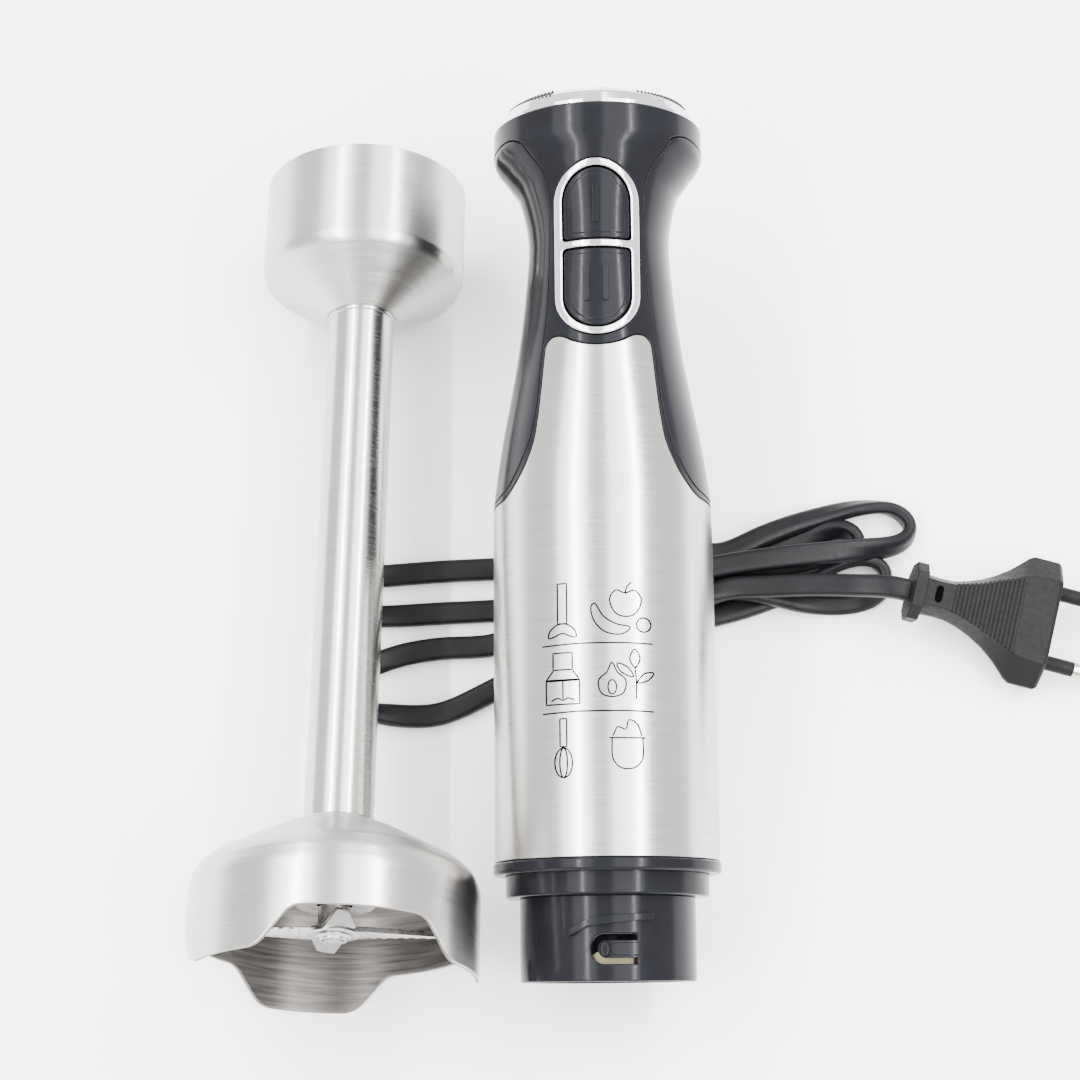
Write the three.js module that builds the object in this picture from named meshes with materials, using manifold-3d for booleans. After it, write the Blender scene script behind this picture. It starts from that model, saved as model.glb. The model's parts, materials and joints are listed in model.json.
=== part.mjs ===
// Immersion blender, laid out in two halves on a table: the motor handle with
// its mains cord and plug, and the detached blending shaft beside it.
// Millimetres, +Z up from the table, +Y towards the handle's head. The origin
// lies on the table, under the middle of everything but the cord.
import * as THREE from 'three';
import { mergeVertices } from 'three/addons/utils/BufferGeometryUtils.js';
import Module from 'manifold-3d';

const wasm = await Module();
wasm.setup();

// ---------------------------------------------------------------- driving dimensions
const GAP = 0.3;
const ROUND = 24;
const SMALL_ROUND = 12;

// Handle: heights run along its axis from the open end of the coupling collar.
// Each row of HANDLE_ROWS is [height, side radius, front radius, back radius].
const HANDLE_ROWS = [
  [28.7, 27.4, 27.4, 27.4],
  [115.0, 27.1, 27.1, 27.1],
  [122.7, 26.3, 26.6, 26.4],
  [132.0, 24.9, 25.7, 25.2],
  [144.7, 22.5, 24.4, 23.2],
  [154.9, 20.7, 23.4, 21.7],
  [170.4, 18.7, 22.5, 20.3],
  [183.0, 17.8, 22.5, 20.0],
  [196.1, 20.0, 23.4, 21.6],
  [200.7, 22.9, 24.4, 23.6],
  [206.7, 26.5, 26.5, 26.5],
  [213.4, 26.4, 26.4, 26.4],
];
const HANDLE_TILT = THREE.MathUtils.degToRad(10.54);
const HANDLE_YAW = THREE.MathUtils.degToRad(0.53);
const HANDLE_ROLL = THREE.MathUtils.degToRad(-3.0);
const HANDLE_X = 36.6;
const HANDLE_Y = -107.6;
const COLLAR_R = 21.3;
const COLLAR_BORE_R = 18.6;
const LATCH_HEIGHT = 7.45;
const STEP_R = 24.7;
const STEP_FROM = 20.1;
const RING_R = 27.7;
const RING_FROM = 25.5;
const RING_TO = 28.4;
const STEEL_WALL = 0.8;
const SHELL_WALL = 2.4;
const SLEEVE_TOP = 114.8;
const HEAD_TOP = 213.4;
const DIAL_R = 25.0;
const DIAL_TOP = 219.4;

// Half outline of the steel tongue, [half-width, height], from the flank to the middle.
const TONGUE = [
  [28.5, 115.2], [23.1, 116.5], [19.4, 121.2], [16.1, 128.6], [14.9, 134.9],
  [13.9, 143.2], [12.9, 153.5], [11.5, 155.0], [9.5, 155.2], [6.0, 153.4], [0, 152.3],
];
// Half outline of the front housing, [half-width, height], from the top to the flank.
const FRONT_PANEL = [
  [30, 215], [30, 206.5], [21.5, 207.5], [16.5, 202.7], [13, 197.5], [11.7, 192],
  [11.9, 176], [12.6, 163.5], [14.3, 149], [15.4, 138], [18.1, 127.5], [22.7, 119], [30, 115.4],
];

// Buttons: two keys in one capsule-shaped frame.
const BEZEL = { bottom: 155.0, top: 199.7, halfWidth: 10.3 };
const BEZEL_BAND = 1.9;
const BAR_HEIGHT = 178.4;
const BUTTON_CLEARANCE = 0.3;

// Motor and drive, all on the handle's axis.
const SHAFT_R = 2.5;
const RUNNING_BORE_R = 2.8;
const CAN_R = 20.5;

// Shaft unit: heights run along its axis from the tips of the guard's feet.
const BELL_R = 34.9;
const BELL_WALL_TOP = 20.9;
const NOTCH_TOP = 9.1;
const CUP_R = 26.4;
const CUP_WALL_FROM = 187.9;
const CUP_RIM = 214.4;
const TUBE_R = 8.5;
const TUBE_FROM = 38.3;
const TUBE_TO = 176.2;
const SHEET = 0.9;
const SHAFT_X = -29.2;
const SHAFT_Y = -109.7;
const SHAFT_YAW = THREE.MathUtils.degToRad(-0.73);
const BLADE_HEIGHT = 11.4;
const BLADE_R = 26.8;
const FEET = [75, 195, 315];

// Cord: a flat twin flex, its folded hank and its two-pin plug.
const CORD_WIDTH = 6.0;
const CORD_THICK = 3.6;
const HANK_HEIGHT = 10.8;
const PLUG_LENGTH = 37.5;
const PLUG_WIDTH = 34.0;
const PLUG_THICK = 13.4;
const PIN_SPACING = 18.6;

// The axes' heights follow from what touches the table: the handle lies on its
// trim ring, and the shaft unit on the guard's wall and on the cup's rim.
const HANDLE_Z = RING_R * Math.cos(HANDLE_TILT) - RING_FROM * Math.sin(HANDLE_TILT);
const SHAFT_TILT = -Math.atan((BELL_R - CUP_R) / (CUP_RIM - BELL_WALL_TOP));
const SHAFT_Z = BELL_R * Math.cos(SHAFT_TILT) - BELL_WALL_TOP * Math.sin(SHAFT_TILT);

// ---------------------------------------------------------------- materials
const finish = (color, roughness, metalness) => () =>
  new THREE.MeshStandardMaterial({ color, roughness, metalness });
const brushedSteel = finish(0xc9c6c2, 0.35, 1);
const chrome = finish(0xe4e6e8, 0.08, 1);
const glossBlack = finish(0x17181c, 0.12, 0);
const satinBlack = finish(0x1b1b1d, 0.45, 0);
const rubber = finish(0x101011, 0.75, 0);
const copper = finish(0xb46a35, 0.35, 1);
const carbon = finish(0x2a2a2c, 0.8, 0.1);
const ferrite = finish(0x3a3a3d, 0.7, 0.2);
const boardGreen = finish(0x1f6b3a, 0.5, 0);
const ivory = finish(0xd9d2bd, 0.5, 0);
const brass = finish(0xc8a24a, 0.3, 1);
const nickel = finish(0xcfc6b8, 0.2, 1);
const bladeSteel = finish(0xb9babd, 0.25, 1);

// ---------------------------------------------------------------- solids
function toSolid(geometry) {
  const bare = geometry.clone();
  bare.deleteAttribute('normal');
  bare.deleteAttribute('uv');
  const merged = mergeVertices(bare, 1e-4);
  return new wasm.Manifold(new wasm.Mesh({
    numProp: 3,
    vertProperties: new Float32Array(merged.attributes.position.array),
    triVerts: new Uint32Array(merged.index.array),
  }));
}

function toGeometry(solid) {
  const data = solid.getMesh();
  const geometry = new THREE.BufferGeometry();
  geometry.setAttribute('position', new THREE.BufferAttribute(data.vertProperties, 3));
  geometry.setIndex(new THREE.BufferAttribute(data.triVerts, 1));
  geometry.computeVertexNormals();
  return geometry;
}

// A turned piece about the Y axis: points are [radius, height], anticlockwise.
function turned(points, segments = ROUND) {
  const profile = [...points, points[0]].map(([r, y]) => new THREE.Vector2(r, y));
  return toSolid(new THREE.LatheGeometry(profile, segments));
}

function rod(radius, from, to, segments = SMALL_ROUND) {
  const geometry = new THREE.CylinderGeometry(radius, radius, to - from, segments);
  return toSolid(geometry.translate(0, (from + to) / 2, 0));
}

function pipe(outer, inner, from, to, segments = ROUND) {
  return turned([[inner, from], [outer, from], [outer, to], [inner, to]], segments);
}

function block(width, height, depth, x, y, z) {
  return toSolid(new THREE.BoxGeometry(width, height, depth).translate(x, y, z));
}

// An outline in the X-Y plane, given as points, carried from z = near to z = far.
function prism(points, near, far) {
  const shape = new THREE.Shape(points.map(([x, y]) => new THREE.Vector2(x, y)));
  const geometry = new THREE.ExtrudeGeometry(shape, { depth: far - near, bevelEnabled: false });
  return toSolid(geometry.translate(0, 0, near));
}

// Completes a half outline with its mirror image across x = 0.
function mirrored(half) {
  const other = half.filter(([x]) => x > 0).map(([x, y]) => [-x, y]).reverse();
  return [...half, ...other];
}

function capsule(halfWidth, bottom, top, steps = 8) {
  const points = [];
  for (let i = 0; i <= steps; i += 1) {
    const angle = (Math.PI * i) / steps;
    points.push([halfWidth * Math.cos(angle), top - halfWidth + halfWidth * Math.sin(angle)]);
  }
  for (let i = 0; i <= steps; i += 1) {
    const angle = Math.PI + (Math.PI * i) / steps;
    points.push([halfWidth * Math.cos(angle), bottom + halfWidth + halfWidth * Math.sin(angle)]);
  }
  return points;
}

function joined(...solids) {
  return solids.reduce((whole, next) => whole.add(next));
}

function cut(solid, ...tools) {
  return tools.reduce((whole, next) => whole.subtract(next), solid);
}

function turnedAbout(solid, degrees) {
  return solid.rotate([0, degrees, 0]);
}

const handle = new THREE.Group();
handle.position.set(HANDLE_X, HANDLE_Y, HANDLE_Z);
handle.rotation.set(HANDLE_TILT, HANDLE_ROLL, HANDLE_YAW, 'ZXY');
const shaftUnit = new THREE.Group();
shaftUnit.position.set(SHAFT_X, SHAFT_Y, SHAFT_Z);
shaftUnit.rotation.set(SHAFT_TILT, 0, SHAFT_YAW, 'ZXY');
const mains = new THREE.Group();
const blender = new THREE.Group();
blender.add(handle, shaftUnit, mains);

function add(group, name, solid, material) {
  const mesh = new THREE.Mesh(toGeometry(solid), material());
  mesh.name = name;
  group.add(mesh);
  return mesh;
}

// ---------------------------------------------------------------- handle body
function rowValue(height, column) {
  const rows = HANDLE_ROWS;
  const last = rows.length - 1;
  if (height <= rows[0][0]) return rows[0][column];
  if (height >= rows[last][0]) return rows[last][column];
  const i = rows.findIndex((row) => row[0] > height) - 1;
  const share = (height - rows[i][0]) / (rows[i + 1][0] - rows[i][0]);
  return THREE.MathUtils.lerp(rows[i][column], rows[i + 1][column], share);
}

// A shell that follows the handle's outer skin, from `outset` outside it to
// `inset` inside it, deeper at the front and back than at the sides.
function skin(from, to, outset, inset, segments = ROUND) {
  const inner = HANDLE_ROWS.map((row) => row[0]).filter((h) => h > from + 0.5 && h < to - 0.5);
  const heights = [from, ...inner, to];
  const outside = heights.map((h) => [rowValue(h, 1) + outset, h]);
  const inside = heights.map((h) => [rowValue(h, 1) - inset, h]).reverse();
  const profile = [...outside, ...inside, outside[0]];
  const geometry = new THREE.LatheGeometry(profile.map(([r, y]) => new THREE.Vector2(r, y)), segments);
  const position = geometry.attributes.position;
  for (let i = 0; i < position.count; i += 1) {
    const height = position.getY(i);
    const depth = rowValue(height, position.getZ(i) > 0 ? 2 : 3);
    position.setZ(i, (position.getZ(i) * depth) / rowValue(height, 1));
  }
  return toSolid(geometry);
}

// Moves every edge of a closed anticlockwise outline outwards by the same amount.
function grown(points, by) {
  const count = points.length;
  const normal = (i) => {
    const [ax, ay] = points[(i + count) % count];
    const [bx, by1] = points[(i + 1) % count];
    const length = Math.hypot(bx - ax, by1 - ay);
    return [(by1 - ay) / length, (ax - bx) / length];
  };
  return points.map(([x, y], i) => {
    const [px, py] = normal(i - 1);
    const [qx, qy] = normal(i);
    const reach = by / (1 + px * qx + py * qy);
    return [x + reach * (px + qx), y + reach * (py + qy)];
  });
}

const tonguePrism = (by) => prism(grown(mirrored([[28.5, 90], ...TONGUE]), by), 0, 40);
const bezelPrism = (by) =>
  prism(capsule(BEZEL.halfWidth + by, BEZEL.bottom - by, BEZEL.top + by), 5, 40);

function buildSleeve() {
  const sheet = skin(RING_TO + GAP, 156, 0, STEEL_WALL);
  const keep = joined(pipe(40, 0.5, 20, SLEEVE_TOP, 8), tonguePrism(0));
  add(handle, 'steel_sleeve', sheet.intersect(keep), brushedSteel);
}

function buildHousings() {
  const bottom = SLEEVE_TOP + GAP;
  const shell = skin(bottom, HEAD_TOP, 0, SHELL_WALL);
  const outline = mirrored([...FRONT_PANEL].reverse());
  const panel = (by) => prism(grown(outline, by), by > 0 ? 0 : GAP, 40);
  const recess = tonguePrism(GAP).intersect(skin(bottom - 5, 160, 3, STEEL_WALL + GAP));
  const front = cut(shell.intersect(panel(0)), recess, bezelPrism(GAP));
  const cordHole = rod(4.6, -12, 12).rotate([CORD_EXIT.lean, 0, 0]).translate(CORD_EXIT.at);
  const rear = cut(shell, panel(GAP), recess, cordHole, ...ventSlots());
  add(handle, 'front_housing', front, glossBlack);
  add(handle, 'rear_grip', rear, glossBlack);
}

// Where the cord leaves the back of the head, and how far it leans to the table.
const CORD_EXIT = { at: [0, 197, -19.5], lean: 45 };

// Air slots across the back of the grip, just above the sleeve.
function ventSlots() {
  const count = 5;
  const pitch = 3.6;
  return Array.from({ length: count }, (_, i) => block(18, 1.4, 20, 0, 120 + pitch * i, -26));
}

function buildBezelAndButtons() {
  const window = capsule(BEZEL.halfWidth - BEZEL_BAND, BEZEL.bottom + BEZEL_BAND, BEZEL.top - BEZEL_BAND);
  const opening = prism(window, 5, 40);
  const bar = block(24, BEZEL_BAND, 40, 0, BAR_HEIGHT, 20);
  const rim = bezelPrism(0).subtract(opening.subtract(bar));
  add(handle, 'button_bezel', rim.intersect(skin(150, 205, 0.6, SHELL_WALL)), chrome);

  const inset = BEZEL_BAND + BUTTON_CLEARANCE;
  const keyOutline = capsule(BEZEL.halfWidth - inset, BEZEL.bottom + inset, BEZEL.top - inset);
  const keys = prism(keyOutline, 5, 40).intersect(skin(150, 205, 0.4, SHELL_WALL + 0.2));
  const barHalf = BEZEL_BAND / 2 + BUTTON_CLEARANCE;
  const spans = {
    button_one: [BAR_HEIGHT + barHalf, BEZEL.top],
    button_two: [BEZEL.bottom, BAR_HEIGHT - barHalf],
  };
  for (const [name, [from, to]] of Object.entries(spans)) {
    const half = block(24, to - from, 40, 0, (from + to) / 2, 20);
    const stem = block(5, 5, 3.4, 0, (from + to) / 2, 17.9);
    add(handle, name, joined(keys.intersect(half), stem), glossBlack);
  }
}

function buildCollar() {
  const body = turned([
    [COLLAR_BORE_R, 0], [COLLAR_R, 0], [COLLAR_R, STEP_FROM], [STEP_R, STEP_FROM],
    [STEP_R, RING_TO], [22.0, RING_TO], [22.0, 36], [20.4, 36], [20.4, 23.4],
    [10.4, 23.4], [10.4, 30.5], [8.4, 30.5], [8.4, 23.4], [5.4, 23.4], [5.4, 21], [COLLAR_BORE_R, 21],
  ]);
  const wall = pipe(COLLAR_R + 1.3, COLLAR_R - 1.0, 0.5, STEP_FROM - 1);
  const cam = prism([
    [-8.1, 10.6], [-4.2, 12.9], [10.2, 14.5], [10.2, 15.8], [-4.4, 14.2], [-8.4, 11.8],
  ], 10, 30).intersect(wall);
  // The slot leaves a finger rooted at its right-hand end.
  const slot = block(10.9, 7.2, 16, 1.85, LATCH_HEIGHT, 20);
  const fingerRoom = block(9.8, 4.4, 16, 2.8, LATCH_HEIGHT, 20);
  const collar = cut(joined(body, cam, turnedAbout(cam, 180)), slot, fingerRoom);
  add(handle, 'coupling_collar', collar, glossBlack);
  add(handle, 'trim_ring', pipe(RING_R, STEP_R + GAP, RING_FROM, RING_TO), glossBlack);

  const fingerWall = pipe(COLLAR_R, COLLAR_BORE_R + 0.6, 1, 15);
  const bumpWall = pipe(COLLAR_R + 0.8, COLLAR_R - 1.0, 1, 15);
  const finger = block(9.0, 3.8, 16, 2.7, LATCH_HEIGHT, 20).intersect(fingerWall);
  const bump = block(2.2, 3.0, 16, -0.3, LATCH_HEIGHT, 20).intersect(bumpWall);
  add(handle, 'latch_finger', joined(finger, bump), ivory);
}

function buildDial() {
  const plate = cut(
    pipe(23.6, 4.2, 209.5, 211.5),
    ...[0, 180].map((a) => turnedAbout(rod(1.7, 209, 212).translate([16, 0, 0]), a)),
  );
  add(handle, 'head_plate', plate, satinBlack);
  add(handle, 'speed_dial', turned([
    [0, 216.4], [3.1, 216.4], [3.1, 212.4], [5.6, 212.4], [5.6, 216.4], [22.8, 215],
    [22.8, HEAD_TOP + GAP], [DIAL_R, HEAD_TOP + GAP], [DIAL_R, 215.2], [24.0, 217.6],
    [20.5, 219.2], [0, DIAL_TOP],
  ]), chrome);
  add(handle, 'dial_spindle', rod(2.8, 205.6, 216.1), nickel);
  add(handle, 'speed_potentiometer', pipe(8.5, 3.1, 203.5, 209.2, SMALL_ROUND), satinBlack);
  [16, -16].forEach((x, i) => {
    const screw = joined(rod(1.4, 205.5, 212), rod(2.7, 211.8, 213.2)).translate([x, 0, 0]);
    add(handle, `head_screw_${i + 1}`, screw, nickel);
  });
}

function buildControls() {
  add(handle, 'button_seal', prism(capsule(9.6, 157, 198, 6), 13.7, 14.5), rubber);
  add(handle, 'control_board', block(22, 46, 1.6, 0, 174, 8.8), boardGreen);
  [[189.4, 'switch_one'], [166.5, 'switch_two']].forEach(([height, name]) => {
    const body = joined(block(6.2, 6.2, 3.0, 0, height, 11.4), block(3, 3, 1, 0, height, 12.9));
    add(handle, name, body, satinBlack);
  });
  add(handle, 'rectifier_board', pipe(18.5, 3.2, 117, 118.6, 20), boardGreen);
  add(handle, 'suppression_capacitor', block(16, 13, 9, 0, 125.4, -5), ivory);
}

// ---------------------------------------------------------------- motor and drive
function buildMotor() {
  add(handle, 'motor_carrier', pipe(25.9, 24.3, RING_TO + GAP, SLEEVE_TOP - 1), satinBlack);
  add(handle, 'motor_can', turned([
    [3.2, 51], [CAN_R, 51], [CAN_R, 96.5], [19.3, 96.5], [19.3, 52.3], [3.2, 52.3],
  ]), brushedSteel);
  add(handle, 'motor_end_cap', turned([
    [CAN_R, 96.8], [CAN_R, 109], [8, 109], [8, 113], [6.2, 113], [6.2, 107], [18.5, 107], [18.5, 96.8],
  ]), satinBlack);
  add(handle, 'lower_damper', pipe(24.0, CAN_R + GAP, 53, 58, 24), rubber);
  add(handle, 'upper_damper', pipe(24.0, CAN_R + GAP, 99, 104, 24), rubber);
  add(handle, 'output_bearing', pipe(8.1, RUNNING_BORE_R, 23.7, 29.7, SMALL_ROUND), brass);
  add(handle, 'lower_bush', pipe(5.0, RUNNING_BORE_R, 52.6, 56.4, SMALL_ROUND), brass);
  add(handle, 'upper_bush', pipe(5.9, RUNNING_BORE_R, 107.3, 112.5, SMALL_ROUND), brass);
  [['left_magnet', 180], ['right_magnet', 0]].forEach(([name, turn]) => {
    const wedge = prism([[2, 0], [30, -34], [30, 34]], 0, 28);
    const arc = pipe(19.0, 16.4, 58, 86).intersect(wedge.rotate([-90, 0, 0]).translate([0, 58, 0]));
    add(handle, name, turnedAbout(arc, turn), ferrite);
  });
  [['left_brush', -1], ['right_brush', 1]].forEach(([name, side]) => {
    add(handle, name, block(6.5, 5, 4, side * 9.5, 99.5, 0), carbon);
  });
}

function armatureOutline(teeth, tip, root) {
  const points = [];
  for (let i = 0; i < teeth; i += 1) {
    const step = (2 * Math.PI) / teeth;
    for (const [radius, share] of [[tip, 0.08], [tip, 0.48], [root, 0.56], [root, 1]]) {
      const angle = (i + share) * step;
      points.push([radius * Math.cos(angle), radius * Math.sin(angle)]);
    }
  }
  return points;
}

function hexagon(radius) {
  return Array.from({ length: 6 }, (_, i) => {
    const angle = (i * Math.PI) / 3;
    return [radius * Math.cos(angle), radius * Math.sin(angle)];
  });
}

// An outline in the X-Z plane, carried along the axis from one height to another.
function alongAxis(points, from, to) {
  return prism(points, from, to).rotate([-90, 0, 0]);
}

function buildRotor() {
  const bore = rod(RUNNING_BORE_R, 0, 120);
  add(handle, 'motor_shaft', rod(SHAFT_R, 16, 116), nickel);
  add(handle, 'armature_core', cut(alongAxis(armatureOutline(12, 15.4, 11), 61, 85), bore), brushedSteel);
  const coilEnd = (from, to) => turned([
    [5.8, from], [11.5, from], [13.6, from + 1.5], [13.6, to - 1.5], [11.5, to], [5.8, to],
  ], SMALL_ROUND);
  const slots = 12;
  const wires = Array.from({ length: slots }, (_, i) =>
    turnedAbout(block(2.4, 28, 1.3, 12.9, 73, 0), ((i + 0.78) * 360) / slots));
  add(handle, 'armature_winding', joined(coilEnd(57, 60.7), coilEnd(85.3, 90.5), ...wires), copper);
  add(handle, 'commutator', pipe(5.6, RUNNING_BORE_R, 92, 104, SMALL_ROUND), copper);
  const fins = Array.from({ length: 8 }, (_, i) => turnedAbout(block(12, 7, 1.2, 11.5, 42.6, 0), i * 45));
  const fan = joined(pipe(18.5, 5, 38, 39.4, 24), pipe(5.8, RUNNING_BORE_R, 38, 46, 16), ...fins);
  add(handle, 'cooling_fan', fan, satinBlack);
  const coupler = cut(rod(7.5, 6, 20, 20), alongAxis(hexagon(6.4), 5, 15.6), rod(RUNNING_BORE_R, 15.7, 21));
  add(handle, 'drive_coupler', coupler, satinBlack);
}

// ---------------------------------------------------------------- cord and plug
function curvePath(points) {
  return new THREE.CatmullRomCurve3(points.map((p) => new THREE.Vector3(...p)), false, 'centripetal');
}

function cordTube(points, steps) {
  const section = new THREE.Shape();
  const sides = 8;
  for (let i = 0; i < sides; i += 1) {
    const angle = (2 * Math.PI * (i + 0.5)) / sides;
    const x = (CORD_THICK / 2) * Math.cos(angle);
    const y = (CORD_WIDTH / 2) * Math.sin(angle);
    if (i === 0) section.moveTo(x, y);
    else section.lineTo(x, y);
  }
  section.closePath();
  const geometry = new THREE.ExtrudeGeometry(section, { steps, extrudePath: curvePath(points) });
  return toSolid(geometry);
}

// A point on the handle, given in its own frame, as a point on the table's frame.
function fromHandle(x, height, z) {
  handle.updateMatrixWorld(true);
  return handle.localToWorld(new THREE.Vector3(x, height, z)).toArray();
}

function buildStrainRelief() {
  const relief = joined(
    turned([[0, -18.5], [3.6, -18.5], [4.2, 0], [4.2, 3.4], [0, 3.4]], SMALL_ROUND),
    turned([[0, 3.2], [5.6, 3.2], [5.6, 5.2], [0, 5.2]], SMALL_ROUND),
  ).rotate([CORD_EXIT.lean, 0, 0]).translate(CORD_EXIT.at);
  add(handle, 'strain_relief', relief, rubber);
  add(handle, 'cable_clamp', block(15, 6, 3, 0, 186, -9.5), satinBlack);
}

// The relief's tip, and the cord's route from it down to the table and the hank.
function reliefPoint(along) {
  const lean = THREE.MathUtils.degToRad(CORD_EXIT.lean);
  const [x, height, z] = CORD_EXIT.at;
  return fromHandle(x, height - along * Math.cos(lean), z - along * Math.sin(lean));
}

function hankOutline() {
  const outline = new THREE.Shape();
  outline.moveTo(-19, -34.5);
  outline.absarc(-19, -13.8, 20.7, -Math.PI / 2, -1.5 * Math.PI, true);
  outline.quadraticCurveTo(40, 9.5, 66, 11);
  outline.quadraticCurveTo(84, 24, 108, 22.5);
  outline.quadraticCurveTo(117.5, 21, 118, 15.5);
  outline.quadraticCurveTo(117, 10, 113.5, 8.5);
  outline.quadraticCurveTo(114, 3, 107, 2);
  outline.lineTo(106, -6.5);
  outline.quadraticCurveTo(86, -10, 66, -9.5);
  outline.quadraticCurveTo(30, -16, 6, -29);
  outline.quadraticCurveTo(-8, -34.5, -19, -34.5);
  return outline;
}

function buildCord() {
  const hank = new THREE.ExtrudeGeometry(hankOutline(), {
    depth: HANK_HEIGHT, bevelEnabled: false, curveSegments: 5,
  });
  add(mains, 'cord_hank', toSolid(hank), rubber);
  const upper = [
    reliefPoint(18.8), reliefPoint(24), [36.1, 62, 10], [36, 53, 5], [35.9, 43, 3.2],
    [35.8, 30, 3.1], [35.8, 19, 3.1], [35.8, 9.6, 3.1],
  ];
  add(mains, 'head_cord', cordTube(upper, 16), rubber);
}

function buildPlug() {
  const plug = new THREE.Group();
  plug.position.set(115.8, -4.0, 13.5);
  plug.rotation.set(
    THREE.MathUtils.degToRad(10), THREE.MathUtils.degToRad(7), THREE.MathUtils.degToRad(-13), 'ZYX',
  );
  mains.add(plug);
  plug.updateMatrixWorld(true);
  const behind = (distance) => plug.localToWorld(new THREE.Vector3(-distance, 0, 0)).toArray();
  add(mains, 'plug_cord', cordTube([[107.6, -2.2, 8.6], [109.2, -2.3, 8.8], behind(3), behind(GAP)], 4), rubber);
  const half = [[7.5, 0], [7.5, 4], [5.0, 4], [5.0, 11], [6.2, 17], [9.6, 23], [15, 27.5], [17, 29.5], [17, PLUG_LENGTH]];
  const outline = [...half.map(([y, x]) => [x, -y]), ...half.map(([y, x]) => [x, y]).reverse()];
  const slab = prism(outline, -PLUG_THICK / 2, PLUG_THICK / 2);
  const chamferAt = (side, top) => {
    const corner = [[17.5, 0.5], [17.5, 7.5], [12.8, 7.5]];
    const wedge = prism(corner.map(([y, z]) => [side * y, top * z]).sort(() => 1), 0, PLUG_LENGTH + 4);
    return wedge.rotate([90, 0, 0]).rotate([0, 0, 90]).translate([-2, 0, 0]);
  };
  const corners = [[1, 1], [1, -1], [-1, 1], [-1, -1]];
  const body = corners.reduce((solid, [side, top]) => solid.subtract(chamferAt(side, top)), slab);
  const across = (solid, y) => solid.rotate([0, 0, -90]).translate([0, y, 0]);
  const sides = [-PIN_SPACING / 2, PIN_SPACING / 2];
  const sleeves = sides.map((y) => across(rod(1.95, PLUG_LENGTH - 2, PLUG_LENGTH + 8.5), y));
  const bores = sides.map((y) => across(rod(1.4, PLUG_LENGTH - 8, PLUG_LENGTH + 9), y));
  add(plug, 'plug_body', cut(joined(body, ...sleeves), ...bores), rubber);
  sides.forEach((y, i) => {
    const pin = joined(
      across(rod(1.1, PLUG_LENGTH - 7.7, PLUG_LENGTH + 10, 10), y),
      across(rod(2.0, PLUG_LENGTH + 8.8, PLUG_LENGTH + 19, SMALL_ROUND), y),
    );
    add(plug, `plug_pin_${i + 1}`, pin, nickel);
  });
}

// ---------------------------------------------------------------- shaft unit
function buildShell() {
  const bell = turned([
    [TUBE_R + GAP, 38.0], [TUBE_R + GAP, 37.1], [15.4, 34.7], [23.6, 30.3], [29.8, 26.9], [33.0, 24.0],
    [BELL_R - SHEET, 20.5], [BELL_R - SHEET, 0], [BELL_R, 0], [BELL_R, BELL_WALL_TOP],
    [33.8, 24.6], [30.3, 27.8], [24.0, 31.3], [15.7, 35.7], [TUBE_R + 1.4, 38.0],
  ]);
  add(shaftUnit, 'blade_guard', cut(bell, ...guardNotches()), brushedSteel);
  add(shaftUnit, 'shaft_tube', pipe(TUBE_R, TUBE_R - SHEET, 22, TUBE_TO + 2, 20), brushedSteel);
  add(shaftUnit, 'coupling_cup', turned([
    [TUBE_R + GAP, TUBE_TO + 0.3], [TUBE_R + GAP, TUBE_TO + 1.6], [CUP_R - SHEET, CUP_WALL_FROM + 0.9],
    [CUP_R - SHEET, CUP_RIM], [CUP_R, CUP_RIM], [CUP_R, CUP_WALL_FROM], [TUBE_R + 0.9, TUBE_TO + 0.3],
  ].reverse()), brushedSteel);
}

// One notch between each two feet: wide at the tips, narrow at its top.
function guardNotches() {
  const halfTop = 26.5;
  const halfTip = 40;
  return FEET.map((foot) => {
    const steps = 6;
    const points = [];
    for (let i = 0; i <= steps; i += 1) {
      const angle = THREE.MathUtils.degToRad(halfTip * (2 * i / steps - 1));
      points.push(angle);
    }
    const across = (degrees) => 60 * Math.tan(THREE.MathUtils.degToRad(degrees));
    const outline = [[-across(halfTip), -1], [across(halfTip), -1], [across(halfTop), NOTCH_TOP],
      [-across(halfTop), NOTCH_TOP]];
    return notchSolid(outline, foot + 60);
  });
}

// The notch's outline is drawn 60 mm out from the axis and narrows towards it.
function notchSolid(outline, bearing) {
  const shape = new THREE.Shape(outline.map(([x, y]) => new THREE.Vector2(x, y)));
  const geometry = new THREE.ExtrudeGeometry(shape, { depth: 58, bevelEnabled: false, steps: 1 });
  geometry.translate(0, 0, 2);
  const position = geometry.attributes.position;
  for (let i = 0; i < position.count; i += 1) {
    position.setX(i, (position.getX(i) * position.getZ(i)) / 60);
  }
  return turnedAbout(toSolid(geometry), bearing);
}

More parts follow.
